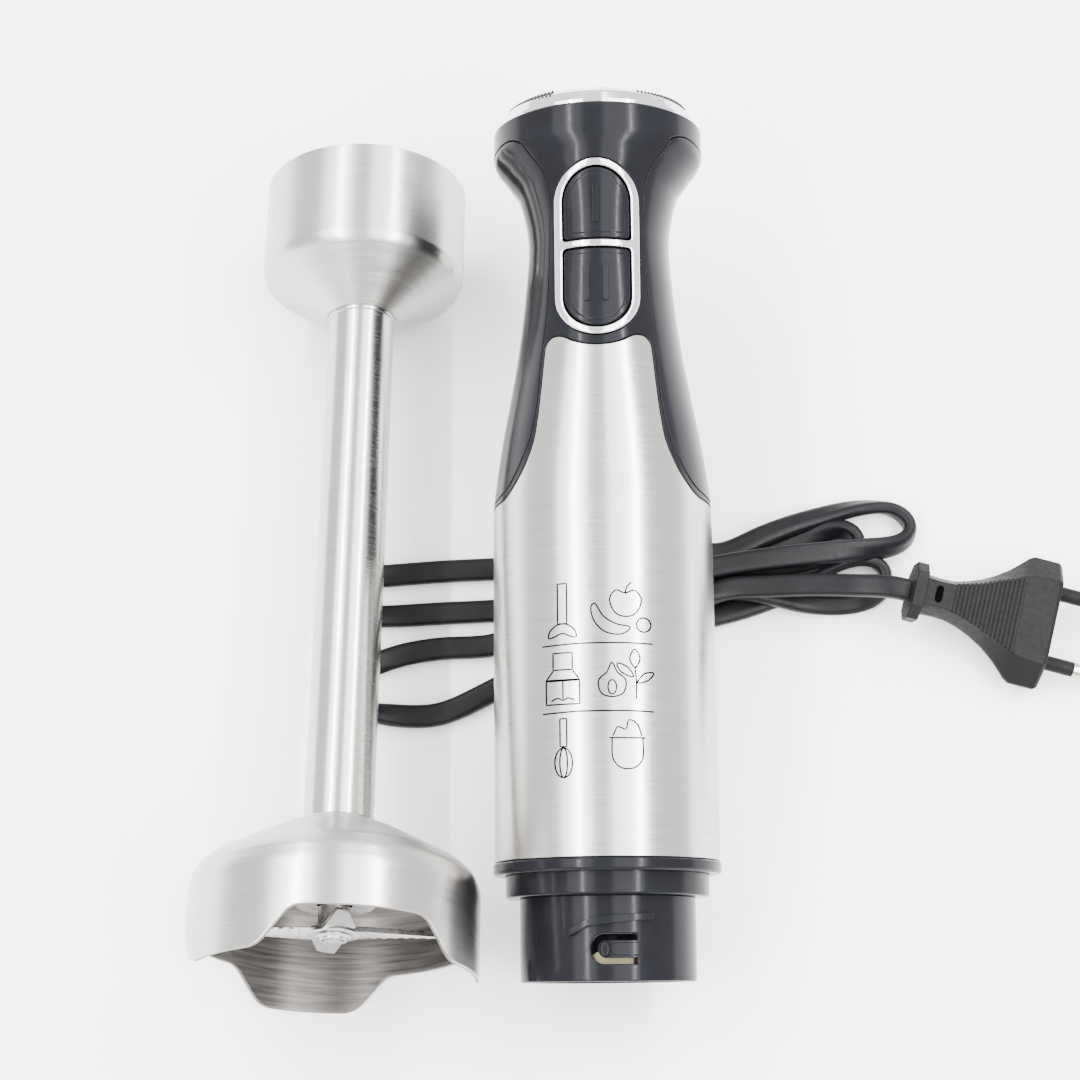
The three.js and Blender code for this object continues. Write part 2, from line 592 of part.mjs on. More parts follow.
function buildSocket() {
  const liner = turned([
    [9.0, 187.2], [22.2, 187.2], [24.2, 188.8], [25.0, 190.2], [25.0, CUP_RIM - 5.7],
    [21.7, CUP_RIM - 5.7], [21.7, 188.8], [9.0, 188.8],
  ]);
  const grooves = [0, 180].map((a) => turnedAbout(block(21.5, 21, 4, 0, 199.2, 21), a));
  const latchGroove = pipe(23.2, 21, 206.0, 208.4);
  const channels = grooves.map((groove) => groove.intersect(pipe(23.2, 15, 188.7, 212)));
  add(shaftUnit, 'cup_liner', cut(liner, ...channels, latchGroove), satinBlack);
  add(shaftUnit, 'upper_rod_bush', pipe(7.2, RUNNING_BORE_R, 168, 178, SMALL_ROUND), brass);
  add(shaftUnit, 'lower_rod_bush', pipe(7.2, RUNNING_BORE_R, 26, 36, SMALL_ROUND), brass);
  add(shaftUnit, 'shaft_seal', pipe(7.2, RUNNING_BORE_R, 22.4, 25.6, SMALL_ROUND), rubber);
  add(shaftUnit, 'seal_cap', turned([
    [4.2, 18.0], [9.6, 18.0], [10.4, 19.0], [10.4, 26.0], [TUBE_R + GAP, 26.0], [TUBE_R + GAP, 21.7],
    [4.2, 21.7],
  ], 20), bladeSteel);
}

function wing(bend) {
  const flat = 12;
  const outline = [[1.5, -4.2], [flat, -4.4], [BLADE_R, -1.6], [BLADE_R, 1.8], [flat, 4.4], [1.5, 4.2]];
  return prism(outline, -0.8, 0.8).rotate([90, 0, 0]).rotate([0, bend, 0]).translate([0, BLADE_HEIGHT, 0]);
}

// A short blade with its end bent along the axis, up or down.
function winglet(side) {
  const foot = block(9, 1.6, 7, 6, BLADE_HEIGHT, 0);
  const tip = block(8, 1.6, 6.4, 4, 0, 0).rotate([0, 0, side * 55]).translate([10.2, BLADE_HEIGHT, 0]);
  return joined(foot, tip);
}

function buildCutter() {
  const bore = rod(RUNNING_BORE_R, 0, 30);
  const hub = rod(6.2, BLADE_HEIGHT - 0.8, BLADE_HEIGHT + 0.8, 16);
  const blades = joined(hub, wing(5), wing(185), turnedAbout(winglet(1), 290), turnedAbout(winglet(-1), 110));
  add(shaftUnit, 'blade', cut(blades, bore), bladeSteel);
  add(shaftUnit, 'blade_spacer', pipe(3.9, RUNNING_BORE_R, BLADE_HEIGHT + 1.1, 17.6, SMALL_ROUND), bladeSteel);
  add(shaftUnit, 'blade_nut', pipe(3.6, RUNNING_BORE_R, 9.3, 10.3, SMALL_ROUND), bladeSteel);
  add(shaftUnit, 'drive_rod', rod(SHAFT_R, 9.2, 200), nickel);
  const coupler = cut(
    joined(alongAxis(hexagon(5.9), 194, 206), rod(7.2, 190.4, 194, 16)),
    rod(RUNNING_BORE_R, 190, 200.3),
  );
  add(shaftUnit, 'driven_coupler', coupler, satinBlack);
}

buildSleeve();
buildHousings();
buildBezelAndButtons();
buildCollar();
buildDial();
buildControls();
buildMotor();
buildRotor();
buildStrainRelief();
buildCord();
buildPlug();
buildShell();
buildSocket();
buildCutter();

export default blender;
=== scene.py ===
import json
import math

import bpy
import numpy as np
from mathutils import Matrix, Vector
from mathutils.geometry import delaunay_2d_cdt


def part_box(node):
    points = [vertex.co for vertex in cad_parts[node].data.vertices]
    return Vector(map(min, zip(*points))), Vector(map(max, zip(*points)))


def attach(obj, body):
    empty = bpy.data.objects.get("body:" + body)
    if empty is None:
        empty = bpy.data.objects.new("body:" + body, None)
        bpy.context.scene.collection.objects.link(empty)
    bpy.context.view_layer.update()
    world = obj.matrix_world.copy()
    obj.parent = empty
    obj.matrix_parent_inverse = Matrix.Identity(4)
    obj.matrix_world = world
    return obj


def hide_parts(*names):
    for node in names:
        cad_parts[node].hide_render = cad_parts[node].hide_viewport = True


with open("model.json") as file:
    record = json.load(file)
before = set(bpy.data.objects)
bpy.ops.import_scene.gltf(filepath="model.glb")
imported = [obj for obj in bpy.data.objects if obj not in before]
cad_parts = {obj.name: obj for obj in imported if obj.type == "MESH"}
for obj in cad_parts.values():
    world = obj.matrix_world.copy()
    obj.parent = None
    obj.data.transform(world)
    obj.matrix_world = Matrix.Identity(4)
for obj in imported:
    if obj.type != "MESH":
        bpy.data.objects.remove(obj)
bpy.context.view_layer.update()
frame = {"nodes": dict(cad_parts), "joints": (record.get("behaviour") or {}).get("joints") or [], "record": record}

# An immersion blender laid out in two halves, with its mains cord. Lengths in this
# file are millimetres unless a name says otherwise, and MM turns them into metres.
MM = 0.001
JOINTS = {joint["name"]: joint for joint in frame["joints"]}
MOUNTS = {mount["name"]: mount for mount in frame["record"]["mounts"]}


# ---------------- axes of the groups
def placed(origin, x, y, z):
    """A group's matrix, from its origin in metres and its three directions."""
    rows = [[x[i], y[i], z[i], origin[i]] for i in range(3)]
    return Matrix(rows + [[0, 0, 0, 1]])


def hinge_axes(joint, height, front):
    """y runs along the hinge, whose point is `height` up from the origin, and z is the front."""
    y = Vector(joint["axis"]).normalized()
    z = (front - front.dot(y) * y).normalized()
    return placed(Vector(joint["pos_m"]) - y * height * MM, y.cross(z), y, z)


def middle(node):
    low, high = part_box(node)
    return (low + high) / 2


def plug_axes():
    """x points out of the plug's face, between the pins, and y runs from pin to pin."""
    x = Vector(MOUNTS["plug_face"]["axis"]).normalized()
    across = middle("plug_pin_2") - middle("plug_pin_1")
    y = (across - across.dot(x) * x).normalized()
    return placed(Vector(MOUNTS["plug_face"]["pos_m"]) - x * PLUG_LENGTH * MM, x, y, x.cross(y))


PLUG_LENGTH = 37.5
FRONT = -Vector(JOINTS["upper_button_press"]["axis"])
HANDLE = hinge_axes(JOINTS["rotor_spin"], 60, FRONT)
SHAFT = hinge_axes(JOINTS["cutter_spin"], 100, Vector((0, 0, 1)))
PLUG = plug_axes()

# ---------------- camera
VIEW_CENTRE = Vector((0.0200, 0.0153, 0))
VIEW_DISTANCE = 0.6737
VIEW_LEAN = math.radians(21.08)
LENS = 84.2
SENSOR = 36


def make_camera():
    data = bpy.data.cameras.new("camera")
    data.sensor_width = SENSOR
    data.lens = LENS
    camera = bpy.data.objects.new("camera", data)
    bpy.context.scene.collection.objects.link(camera)
    back = Vector((0, -math.sin(VIEW_LEAN), math.cos(VIEW_LEAN)))
    camera.location = VIEW_CENTRE + VIEW_DISTANCE * back
    camera.rotation_euler = (VIEW_LEAN, 0, 0)
    bpy.context.scene.camera = camera


make_camera()


# ---------------- materials
class Finish:
    """A node material: a Principled shader with noise on its roughness, colour and relief."""

    def __init__(self, name, colour, roughness, metallic=0.0, **sockets):
        self.material = bpy.data.materials.new(name)
        self.material.use_nodes = True
        self.material.diffuse_color = (*colour, 1)
        self.nodes = self.material.node_tree.nodes
        self.links = self.material.node_tree.links
        self.shader = self.nodes["Principled BSDF"]
        self.shader.inputs["Base Color"].default_value = (*colour, 1)
        self.shader.inputs["Roughness"].default_value = roughness
        self.shader.inputs["Metallic"].default_value = metallic
        for socket, value in sockets.items():
            self.shader.inputs[socket.replace("_", " ")].default_value = value
        self.place = self.nodes.new("ShaderNodeTexCoord").outputs["Object"]
        self.bumped = None

    def noise(self, scale, detail=3.0, rough=0.5):
        """Noise with its own scale along each of the piece's axes, in features per metre."""
        mapping = self.nodes.new("ShaderNodeMapping")
        mapping.inputs["Scale"].default_value = scale if hasattr(scale, "__len__") else (scale,) * 3
        self.links.new(self.place, mapping.inputs["Vector"])
        noise = self.nodes.new("ShaderNodeTexNoise")
        noise.inputs["Scale"].default_value = 1
        noise.inputs["Detail"].default_value = detail
        noise.inputs["Roughness"].default_value = rough
        self.links.new(mapping.outputs["Vector"], noise.inputs["Vector"])
        return noise.outputs["Fac"]

    def ranged(self, source, low, high, start=0.25, end=0.75):
        node = self.nodes.new("ShaderNodeMapRange")
        for socket, value in (("From Min", start), ("From Max", end), ("To Min", low), ("To Max", high)):
            node.inputs[socket].default_value = value
        self.links.new(source, node.inputs["Value"])
        return node.outputs["Result"]

    def roughness(self, source, low, high):
        self.links.new(self.ranged(source, low, high), self.shader.inputs["Roughness"])
        return self

    def colours(self, source, low, high):
        mix = self.nodes.new("ShaderNodeMix")
        mix.data_type = "RGBA"
        mix.inputs["A"].default_value = (*low, 1)
        mix.inputs["B"].default_value = (*high, 1)
        self.links.new(self.ranged(source, 0, 1), mix.inputs["Factor"])
        self.links.new(mix.outputs["Result"], self.shader.inputs["Base Color"])
        return self

    def relief(self, source, height, strength=1.0):
        """Raises the surface by up to `height` millimetres where the source is bright."""
        bump = self.nodes.new("ShaderNodeBump")
        bump.inputs["Strength"].default_value = strength
        bump.inputs["Distance"].default_value = height * MM
        self.links.new(source, bump.inputs["Height"])
        if self.bumped:
            self.links.new(self.bumped, bump.inputs["Normal"])
        self.bumped = bump.outputs["Normal"]
        self.links.new(self.bumped, self.shader.inputs["Normal"])
        return self

    def turned_tangent(self):
        """Stretches highlights along the Y axis, as brushing round that axis does."""
        tangent = self.nodes.new("ShaderNodeTangent")
        tangent.direction_type = "RADIAL"
        tangent.axis = "Y"
        self.links.new(tangent.outputs["Tangent"], self.shader.inputs["Tangent"])
        return self


def brushed(name, colour, rough, lines, aniso, streaks=0.13, height=0.010):
    finish = Finish(name, colour, rough, 1.0, Anisotropic=aniso, Anisotropic_Rotation=0.25)
    fine = finish.noise((60, lines, 60), 3, 0.6)
    finish.turned_tangent().roughness(fine, rough * 0.82, rough * 1.25)
    finish.colours(fine, [c * (1 - streaks) for c in colour], [c * (1 + streaks) for c in colour])
    return finish.relief(fine, height, 0.5).material


def moulded(name, colour, rough, grain, height, level=0.5):
    finish = Finish(name, colour, rough, 0.0, Specular_IOR_Level=level)
    finish.roughness(finish.noise(900, 2), rough * 0.8, rough * 1.3)
    finish.colours(finish.noise(120, 2), [c * 0.85 for c in colour], [c * 1.15 for c in colour])
    return finish.relief(finish.noise(grain, 3), height, 0.4).material


def plain_metal(name, colour, rough, grain=1500):
    finish = Finish(name, colour, rough, 1.0)
    finish.roughness(finish.noise(grain, 3), rough * 0.7, rough * 1.5)
    finish.colours(finish.noise(200, 2), [c * 0.92 for c in colour], [min(1, c * 1.04) for c in colour])
    return finish.relief(finish.noise((grain, grain / 6, grain), 2), 0.002, 0.12).material


LOOKS = {
    "steel": brushed("brushed_steel", (0.465, 0.453, 0.436), 0.31, 4200, 0.82),
    # the guard's inside: rougher steel with stronger streaks, and a much darker colour that is painted shade
    "inside_steel_painted_shade": brushed("rough_steel_with_painted_shade", (0.165, 0.155, 0.148), 0.40, 1300, 0.75, 0.45),
    "tube_steel": brushed("satin_tube_steel", (0.445, 0.436, 0.422), 0.24, 3200, 0.6, 0.05, 0.003),
    "chrome": plain_metal("bright_chrome", (0.72, 0.73, 0.75), 0.07, 700),
    "gloss_black": moulded("gloss_black_plastic", (0.0062, 0.0064, 0.0082), 0.15, 260, 0.004, 0.09),
    "satin_black": moulded("satin_black_plastic", (0.008, 0.008, 0.009), 0.42, 2400, 0.015, 0.15),
    "cord_black": moulded("cord_black_vinyl", (0.004, 0.004, 0.005), 0.36, 1600, 0.012, 0.12),
    "plug_black": moulded("plug_black_rubber", (0.0055, 0.0055, 0.0062), 0.50, 3200, 0.03, 0.09),
    "rubber": moulded("soft_rubber", (0.008, 0.008, 0.009), 0.6, 2600, 0.02, 0.15),
    "copper": plain_metal("lacquered_copper", (0.72, 0.33, 0.14), 0.3),
    "carbon": moulded("pressed_carbon", (0.035, 0.035, 0.038), 0.75, 3500, 0.03),
    # a near-black sheet laid over a recess: painted shade
    "slot_shade": moulded("painted_slot_shade", (0.0006, 0.0006, 0.0006), 0.9, 2000, 0.01, 0.02),
    "ferrite": moulded("ferrite", (0.055, 0.055, 0.06), 0.65, 2600, 0.03),
    "board": moulded("circuit_board", (0.02, 0.16, 0.06), 0.38, 1200, 0.01),
    "ivory": moulded("ivory_plastic", (0.15, 0.135, 0.075), 0.4, 900, 0.01, 0.15),
    "bronze": plain_metal("sintered_bronze", (0.62, 0.44, 0.19), 0.4, 2600),
    "nickel": plain_metal("nickel_plate", (0.50, 0.47, 0.43), 0.16, 1500),
    "blade_steel": plain_metal("ground_blade_steel", (0.40, 0.393, 0.385), 0.27, 420),
    "marking": moulded("etched_marking", (0.13, 0.14, 0.165), 0.5, 2000, 0.005, 0.3),
}


# ---------------- pieces
def piece(name, mesh, group, body, look, *nodes, bevel=None, angle=32):
    """An object that rides on a body, from points in its group's millimetres, faces and
    perhaps normals. The nodes are those of the frame that it stands for."""
    points, faces, *normals = mesh
    data = bpy.data.meshes.new(name)
    data.from_pydata([tuple(p) for p in np.array(points) * MM], [], [tuple(f) for f in faces])
    data.validate()
    obj = bpy.data.objects.new(name, data)
    bpy.context.scene.collection.objects.link(obj)
    obj.matrix_world = group
    data.materials.append(LOOKS[look])
    data.shade_smooth()
    if bevel:
        modifier = obj.modifiers.new("bevel", "BEVEL")
        modifier.width = bevel * MM
        modifier.segments = 2
        modifier.limit_method = "ANGLE"
        modifier.angle_limit = math.radians(angle)
        modifier.harden_normals = True
        bake(obj)
    elif normals:
        data.normals_split_custom_set_from_vertices([tuple(n) for n in normals[0]])
    else:
        data.set_sharp_from_angle(angle=math.radians(angle))
    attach(obj, body)
    if nodes:
        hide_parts(*nodes)
    return obj


def bake(obj):
    """Turns the object's modifiers into mesh."""
    bpy.context.view_layer.update()
    graph = bpy.context.evaluated_depsgraph_get()
    mesh = bpy.data.meshes.new_from_object(obj.evaluated_get(graph))
    obj.modifiers.clear()
    obj.data = mesh


def merged(*meshes):
    """Several (points, faces) or (points, faces, normals) as one."""
    points, faces, normals = [], [], []
    for mesh in meshes:
        start = len(points)
        points += [tuple(p) for p in mesh[0]]
        faces += [[start + i for i in face] for face in mesh[1]]
        if len(mesh) > 2:
            normals += [tuple(n) for n in mesh[2]]
    return (points, faces, normals) if normals else (points, faces)


def unit(v):
    return v / np.maximum(np.linalg.norm(v, axis=-1, keepdims=True), 1e-12)


# ---------------- curves
SOFT_CORNER = 0.12


def monotone(xs, ys):
    """A smooth curve through the points that never overshoots them."""
    xs, ys = np.array(xs, float), np.array(ys, float)
    step = np.diff(xs)
    rise = np.diff(ys) / step
    slope = np.zeros(len(xs))
    slope[0], slope[-1] = rise[0], rise[-1]
    for i in range(1, len(xs) - 1):
        if rise[i - 1] * rise[i] > 0:
            a, b = 2 * step[i] + step[i - 1], step[i] + 2 * step[i - 1]
            slope[i] = (a + b) / (a / rise[i - 1] + b / rise[i])

    def at(x):
        x = np.clip(x, xs[0], xs[-1])
        i = np.clip(np.searchsorted(xs, x) - 1, 0, len(xs) - 2)
        t = (x - xs[i]) / step[i]
        return ((1 + 2 * t) * (1 - t) ** 2 * ys[i] + t * (1 - t) ** 2 * step[i] * slope[i]
                + t * t * (3 - 2 * t) * ys[i + 1] + t * t * (t - 1) * step[i] * slope[i + 1])
    return at


def spline(points, spacing, closed=False):
    """A smooth line through the points, sampled about every `spacing`."""
    points = np.array(points, float)
    count = len(points)
    if closed:
        padded = np.vstack([points[-1], points, points[:2]])
    else:
        padded = np.vstack([2 * points[0] - points[1], points, 2 * points[-1] - points[-2]])
    line = []
    for i in range(count if closed else count - 1):
        a, b, c, d = padded[i:i + 4]
        ta = 0
        tb = max(np.linalg.norm(b[:3] - a[:3]), 1e-6) ** 0.5
        tc = tb + max(np.linalg.norm(c[:3] - b[:3]), 1e-6) ** 0.5
        td = tc + max(np.linalg.norm(d[:3] - c[:3]), 1e-6) ** 0.5
        steps = max(1, int(round(np.linalg.norm(c[:2] - b[:2]) / spacing)))
        for k in range(steps):
            t = tb + (tc - tb) * k / steps
            ab = (tb - t) / (tb - ta) * a + (t - ta) / (tb - ta) * b
            bc = (tc - t) / (tc - tb) * b + (t - tb) / (tc - tb) * c
            cd = (td - t) / (td - tc) * c + (t - tc) / (td - tc) * d
            abc = (tc - t) / (tc - ta) * ab + (t - ta) / (tc - ta) * bc
            bcd = (td - t) / (td - tb) * bc + (t - tb) / (td - tb) * cd
            line.append((tc - t) / (tc - tb) * abc + (t - tb) / (tc - tb) * bcd)
    if not closed:
        line.append(points[-1])
    return np.array(line)


def rounded(points, closed=True):
    """A line of (r, h) or (r, h, corner radius) with its corners rounded, and its right-hand
    normals."""
    out, normals = [], []
    count = len(points)
    for i, entry in enumerate(points):
        p = np.array(entry[:2], float)
        radius = entry[2] if len(entry) > 2 else SOFT_CORNER
        if not closed and i in (0, count - 1):
            other = np.array(points[1 if i == 0 else count - 2][:2], float)
            along = unit(other - p) if i == 0 else unit(p - other)
            out.append(p)
            normals.append(np.array([along[1], -along[0]]))
            continue
        a = np.array(points[i - 1][:2], float)
        b = np.array(points[(i + 1) % count][:2], float)
        d1, d2 = unit(p - a), unit(b - p)
        n1, n2 = np.array([d1[1], -d1[0]]), np.array([d2[1], -d2[0]])
        bend = math.atan2(d1[0] * d2[1] - d1[1] * d2[0], d1 @ d2)
        if abs(bend) < 0.01:
            out.append(p)
            normals.append(unit(n1 + n2))
            continue
        reach = min(radius * math.tan(abs(bend) / 2), 0.49 * np.linalg.norm(p - a),
                    0.49 * np.linalg.norm(b - p))
        true_radius = reach / math.tan(abs(bend) / 2)
        side = 1 if bend > 0 else -1
        centre = p - d1 * reach - side * n1 * true_radius
        steps = max(2, int(math.ceil(abs(bend) / math.radians(14))))
        for k in range(steps + 1):
            turn = bend * k / steps
            normal = np.array([n1[0] * math.cos(turn) - n1[1] * math.sin(turn),
                               n1[0] * math.sin(turn) + n1[1] * math.cos(turn)])
            out.append(centre + side * normal * true_radius)
            normals.append(normal)
    return np.array(out), np.array(normals)


def filled(points, step, closed=False):
    """A line with points added, so that they lie about `step` apart or less."""
    points = [np.array(p, float) for p in points]
    line = []
    for a, b in zip(points, points[1:] + (points[:1] if closed else [])):
        count = max(1, int(np.linalg.norm(b - a) / step))
        line += [a + (b - a) * i / count for i in range(count)]
    return np.array(line if closed else line + points[-1:])


def ellipse(cx, cy, rx, ry, count=20, start=0.0, end=360.0):
    """Points round an ellipse, or along the part of it between two angles in degrees."""
    turns = np.radians(np.linspace(start, end, count, end - start < 359))
    return [(cx + rx * math.cos(a), cy + ry * math.sin(a)) for a in turns]


def signed_volume(points, faces):
    points = np.array(points)
    return sum(points[face[0]] @ np.cross(points[face[i]], points[face[i + 1]])
               for face in faces for i in range(1, len(face) - 1))


def lofted(rings):
    """A solid through rings of equally many points, with flat ends."""
    count, points = len(rings[0]), [p for ring in rings for p in ring]
    faces = [[i + j, i + (j + 1) % count, i + count + (j + 1) % count, i + count + j]
             for i in range(0, len(points) - count, count) for j in range(count)]
    faces += [list(range(count))[::-1], list(range(len(points) - count, len(points)))]
    if signed_volume(points, faces) < 0:
        faces = [face[::-1] for face in faces]
    return points, faces


def block(width, height, depth, centre):
    x, y, z = width / 2, height / 2, depth / 2
    square = [(-x, -y), (x, -y), (x, y), (-x, y)]
    cx, cy, cz = centre
    return lofted([[(cx + a, cy + b, cz + c) for a, b in square] for c in (-z, z)])


def lathe(points, segments=128):
    """A solid turned about the Y axis from an anticlockwise (radius, height) outline."""
    on_axis = [abs(p[0]) < 1e-6 for p in points]
    closed = not (on_axis[0] and on_axis[-1])
    outline, across = rounded(points, closed)
    verts, normals, rings = [], [], []
    angles = np.arange(segments) * 2 * math.pi / segments
    for (r, h), (nr, nh) in zip(outline, across):
        if r < 1e-6:
            rings.append([len(verts)] * segments)
            verts.append((0, h, 0))
            normals.append((0, math.copysign(1, nh), 0))
        else:
            rings.append(list(range(len(verts), len(verts) + segments)))
            verts += [(r * math.sin(t), h, r * math.cos(t)) for t in angles]
            normals += [(nr * math.sin(t), nh, nr * math.cos(t)) for t in angles]
    faces = []
    for low, high in zip(rings, rings[1:] + (rings[:1] if closed else [])):
        for j in range(segments):
            k = (j + 1) % segments
            face = list(dict.fromkeys((low[j], low[k], high[k], high[j])))
            if len(face) > 2:
                faces.append(face)
    return verts, faces, normals


def moved(mesh, matrix):
    """A mesh carried by a matrix whose translation is in millimetres."""
    turn = np.array(matrix.to_3x3())
    shift = np.array(matrix.translation)
    points = np.array(mesh[0]) @ turn.T + shift
    if len(mesh) == 2:
        return points, mesh[1]
    return points, mesh[1], np.array(mesh[2]) @ turn.T


# ---------------- plates on curved surfaces
def offset(line, by, closed, period):
    """Moves a line to its left, and gives its left-hand directions."""
    if closed:
        before, after = np.roll(line, 1, 0), np.roll(line, -1, 0)
    else:
        jump = np.array([period * np.sign(line[-1, 0] - line[0, 0]), 0])
        before = np.vstack([line[-2] - jump, line[:-1]])
        after = np.vstack([line[1:], line[1] + jump])
    n1, n2 = unit(line - before), unit(after - line)
    n1 = np.stack([-n1[:, 1], n1[:, 0]], 1)
    n2 = np.stack([-n2[:, 1], n2[:, 0]], 1)
    miter = (n1 + n2) / np.maximum(1 + (n1 * n2).sum(1), 0.35)[:, None]
    return line + by * miter, unit(n1 + n2)


def inside(points, loops):
    """Whether each point lies inside an odd number of the loops."""
    found = np.zeros(len(points), bool)
    x, y = points[:, 0][:, None], points[:, 1][:, None]
    for loop in loops:
        a, b = loop, np.roll(loop, -1, 0)
        spans = (a[:, 1] > y) != (b[:, 1] > y)
        rise = np.where(b[:, 1] == a[:, 1], 1e-12, b[:, 1] - a[:, 1])
        cross = a[:, 0] + (y - a[:, 1]) * (b[:, 0] - a[:, 0]) / rise
        found ^= ((spans & (x < cross)).sum(1) % 2).astype(bool)
    return found


def cut_open(rims, starts, flat, spacing, period):
    """For a plate that runs right round: its outline when it is cut open at the back, and
    the two cuts' edges. The cuts' points are added to the flat ones."""
    low, high = rims[0][-1, 1], rims[1][0, 1]
    rows = np.linspace(low, high, max(2, int(abs(high - low) / spacing)))[1:-1]
    right = np.array([(period / 2, row) for row in rows]).reshape(-1, 2)
    edges = []
    for side, first, last in ((1, starts[1] - 1, starts[1]), (-1, starts[0], starts[2] - 1)):
        cut = [first, *range(len(flat), len(flat) + len(rows)), last]
        flat += list(right * [side, 1])
        edges += list(zip(cut, cut[1:]))
    return np.vstack([rims[0], right, rims[1], right[::-1] * [-1, 1]]), edges


def filling(loops, spacing):
    """Points spread over the inside of the loops, clear of their lines."""
    border = np.vstack(loops)
    low, high = border.min(0), border.max(0)
    across = np.arange(low[0] + spacing / 2, high[0], spacing)
    up = np.arange(low[1] + spacing / 2, high[1], spacing)
    grid = np.array([(s + (spacing / 2 if j % 2 else 0), u) for j, u in enumerate(up) for s in across])
    if len(grid):
        grid = grid[inside(grid, loops)]
    return [p for p in grid if np.min(((border - p) ** 2).sum(1)) > (0.45 * spacing) ** 2]


def triangulated(flat, edges, loops):
    """Points, anticlockwise triangles inside the loops, and where each flat point went."""
    result = delaunay_2d_cdt([Vector(p) for p in flat], [tuple(map(int, e)) for e in edges],
                             [], 0, 1e-7, True)
    points, triangles, origins = np.array([tuple(v) for v in result[0]]), result[2], result[3]
    centres = np.array([points[list(t)].mean(0) for t in triangles])
    kept = [list(t) for t, keep in zip(triangles, inside(centres, loops)) if keep]
    for t in kept:
        a, b, c = points[t]
        if (b[0] - a[0]) * (c[1] - a[1]) - (b[1] - a[1]) * (c[0] - a[0]) < 0:
            t.reverse()
    return points, kept, {source: i for i, sources in enumerate(origins) for source in sources}


def plate(lines, surface, level=0.0, depth=1.0, edge=0.3, spacing=1.8, period=0.0, steps=3):
    """A plate on a curved surface, closed, with rounded edges.

    lines are its borders in the surface's (s, u), with the plate on their left. They are
    closed, unless a period is given: then the first runs once round from -period/2 and the
    second runs back, and any others are closed holes. level is the plate's height over the
    surface and depth its thickness.
    """
    lines = [np.array(line, float) for line in lines]
    closed = [not period or i > 1 for i in range(len(lines))]
    rims = [offset(line, edge, c, period)[0] for line, c in zip(lines, closed)]
    flat = list(np.vstack(rims))
    starts = np.cumsum([0] + [len(rim) for rim in rims])
    edges = []
    for rim, start, c in zip(rims, starts, closed):
        edges += [(start + i, start + (i + 1) % len(rim)) for i in range(len(rim) - (0 if c else 1))]
    loops = [rim for rim, c in zip(rims, closed) if c]
    if period:
        outline, cut = cut_open(rims, starts, flat, spacing, period)
        loops.insert(0, outline)
        edges += cut
    flat += filling(loops, spacing)
    found, faces, where = triangulated(flat, edges, loops)
    points, normals, _, _ = surface(found[:, 0], found[:, 1])
    verts = [points + normals * level, points + normals * (level - depth)]
    norms = [normals, -normals]
    under = len(found)
    total = 2 * under
    faces += [[under + i for i in reversed(t)] for t in faces]
    turns = [math.pi / 2 * k / steps for k in range(1, steps + 1)]
    rings = [(edge * (1 - math.sin(a)), edge * (1 - math.cos(a)), a) for a in turns]
    rings.append((0.0, depth, math.pi / 2))
    for line, start, c in zip(lines, starts, closed):
        top = previous = [where[start + i] for i in range(len(line))]
        for inset, drop, angle in rings:
            at, left = offset(line, inset, c, period)
            p, n, es, eu = surface(at[:, 0], at[:, 1])
            outward = unit(-(left[:, :1] * es + left[:, 1:] * eu))
            verts.append(p + n * (level - drop))
            norms.append(unit(n * math.cos(angle) + outward * math.sin(angle)))
            ring = list(range(total, total + len(line)))
            total += len(line)
            faces += strip(ring, previous, c)
            previous = ring
        faces += strip([under + i for i in top], previous, c)
    return weld(np.vstack(verts), faces, np.vstack(norms))


def strip(outer, inner, closed):
    count = len(outer)
    pairs = range(count if closed else count - 1)
    return [[outer[i], outer[(i + 1) % count], inner[(i + 1) % count], inner[i]] for i in pairs]


def weld(verts, faces, normals):
    """Joins points that lie on each other and drops faces that vanish."""
    keys, index, kept = {}, [], []
    for i, p in enumerate(np.round(verts, 4)):
        key = (tuple(p), tuple(np.round(normals[i], 1) + 0.0))
        if key not in keys:
            keys[key] = len(kept)
            kept.append(i)
        index.append(keys[key])
    clean = [list(dict.fromkeys(index[i] for i in face)) for face in faces]
    return verts[kept], [face for face in clean if len(face) > 2], normals[kept]


def slopes(place):
    """A surface from a function of (s, u) that gives points: adds its normals and directions."""
    def surface(s, u):
        step = 0.02
        points = place(s, u)
        es = unit(place(s + step, u) - place(s - step, u))
        eu = unit(place(s, u + step) - place(s, u - step))
        return points, unit(np.cross(es, eu)), es, eu
    return surface


def cylinder(radius):
    def place(s, u):
        turn = s / radius
        return np.stack([radius * np.sin(turn), u + 0 * s, radius * np.cos(turn)], 1)
    return slopes(place)


# ---------------- the mains cord
CORD_WIDTH = 6.0
CORD_THICK = 3.6
EXIT_HEIGHT = 197.0
EXIT_DEPTH = -19.5
EXIT_LEAN = math.radians(45)
RELIEF_MOUTH = 18.9
CORD_CLEARANCE = 0.5


def relief_point(along):
    """A point on the strain relief's axis, in the world's millimetres."""
    reach = along * math.cos(EXIT_LEAN)
    local = Vector((0, EXIT_HEIGHT - reach, EXIT_DEPTH - reach)) * MM
    return (HANDLE @ local) / MM


def plug_point(x):
    return (PLUG @ (Vector((x, 0, 0)) * MM)) / MM


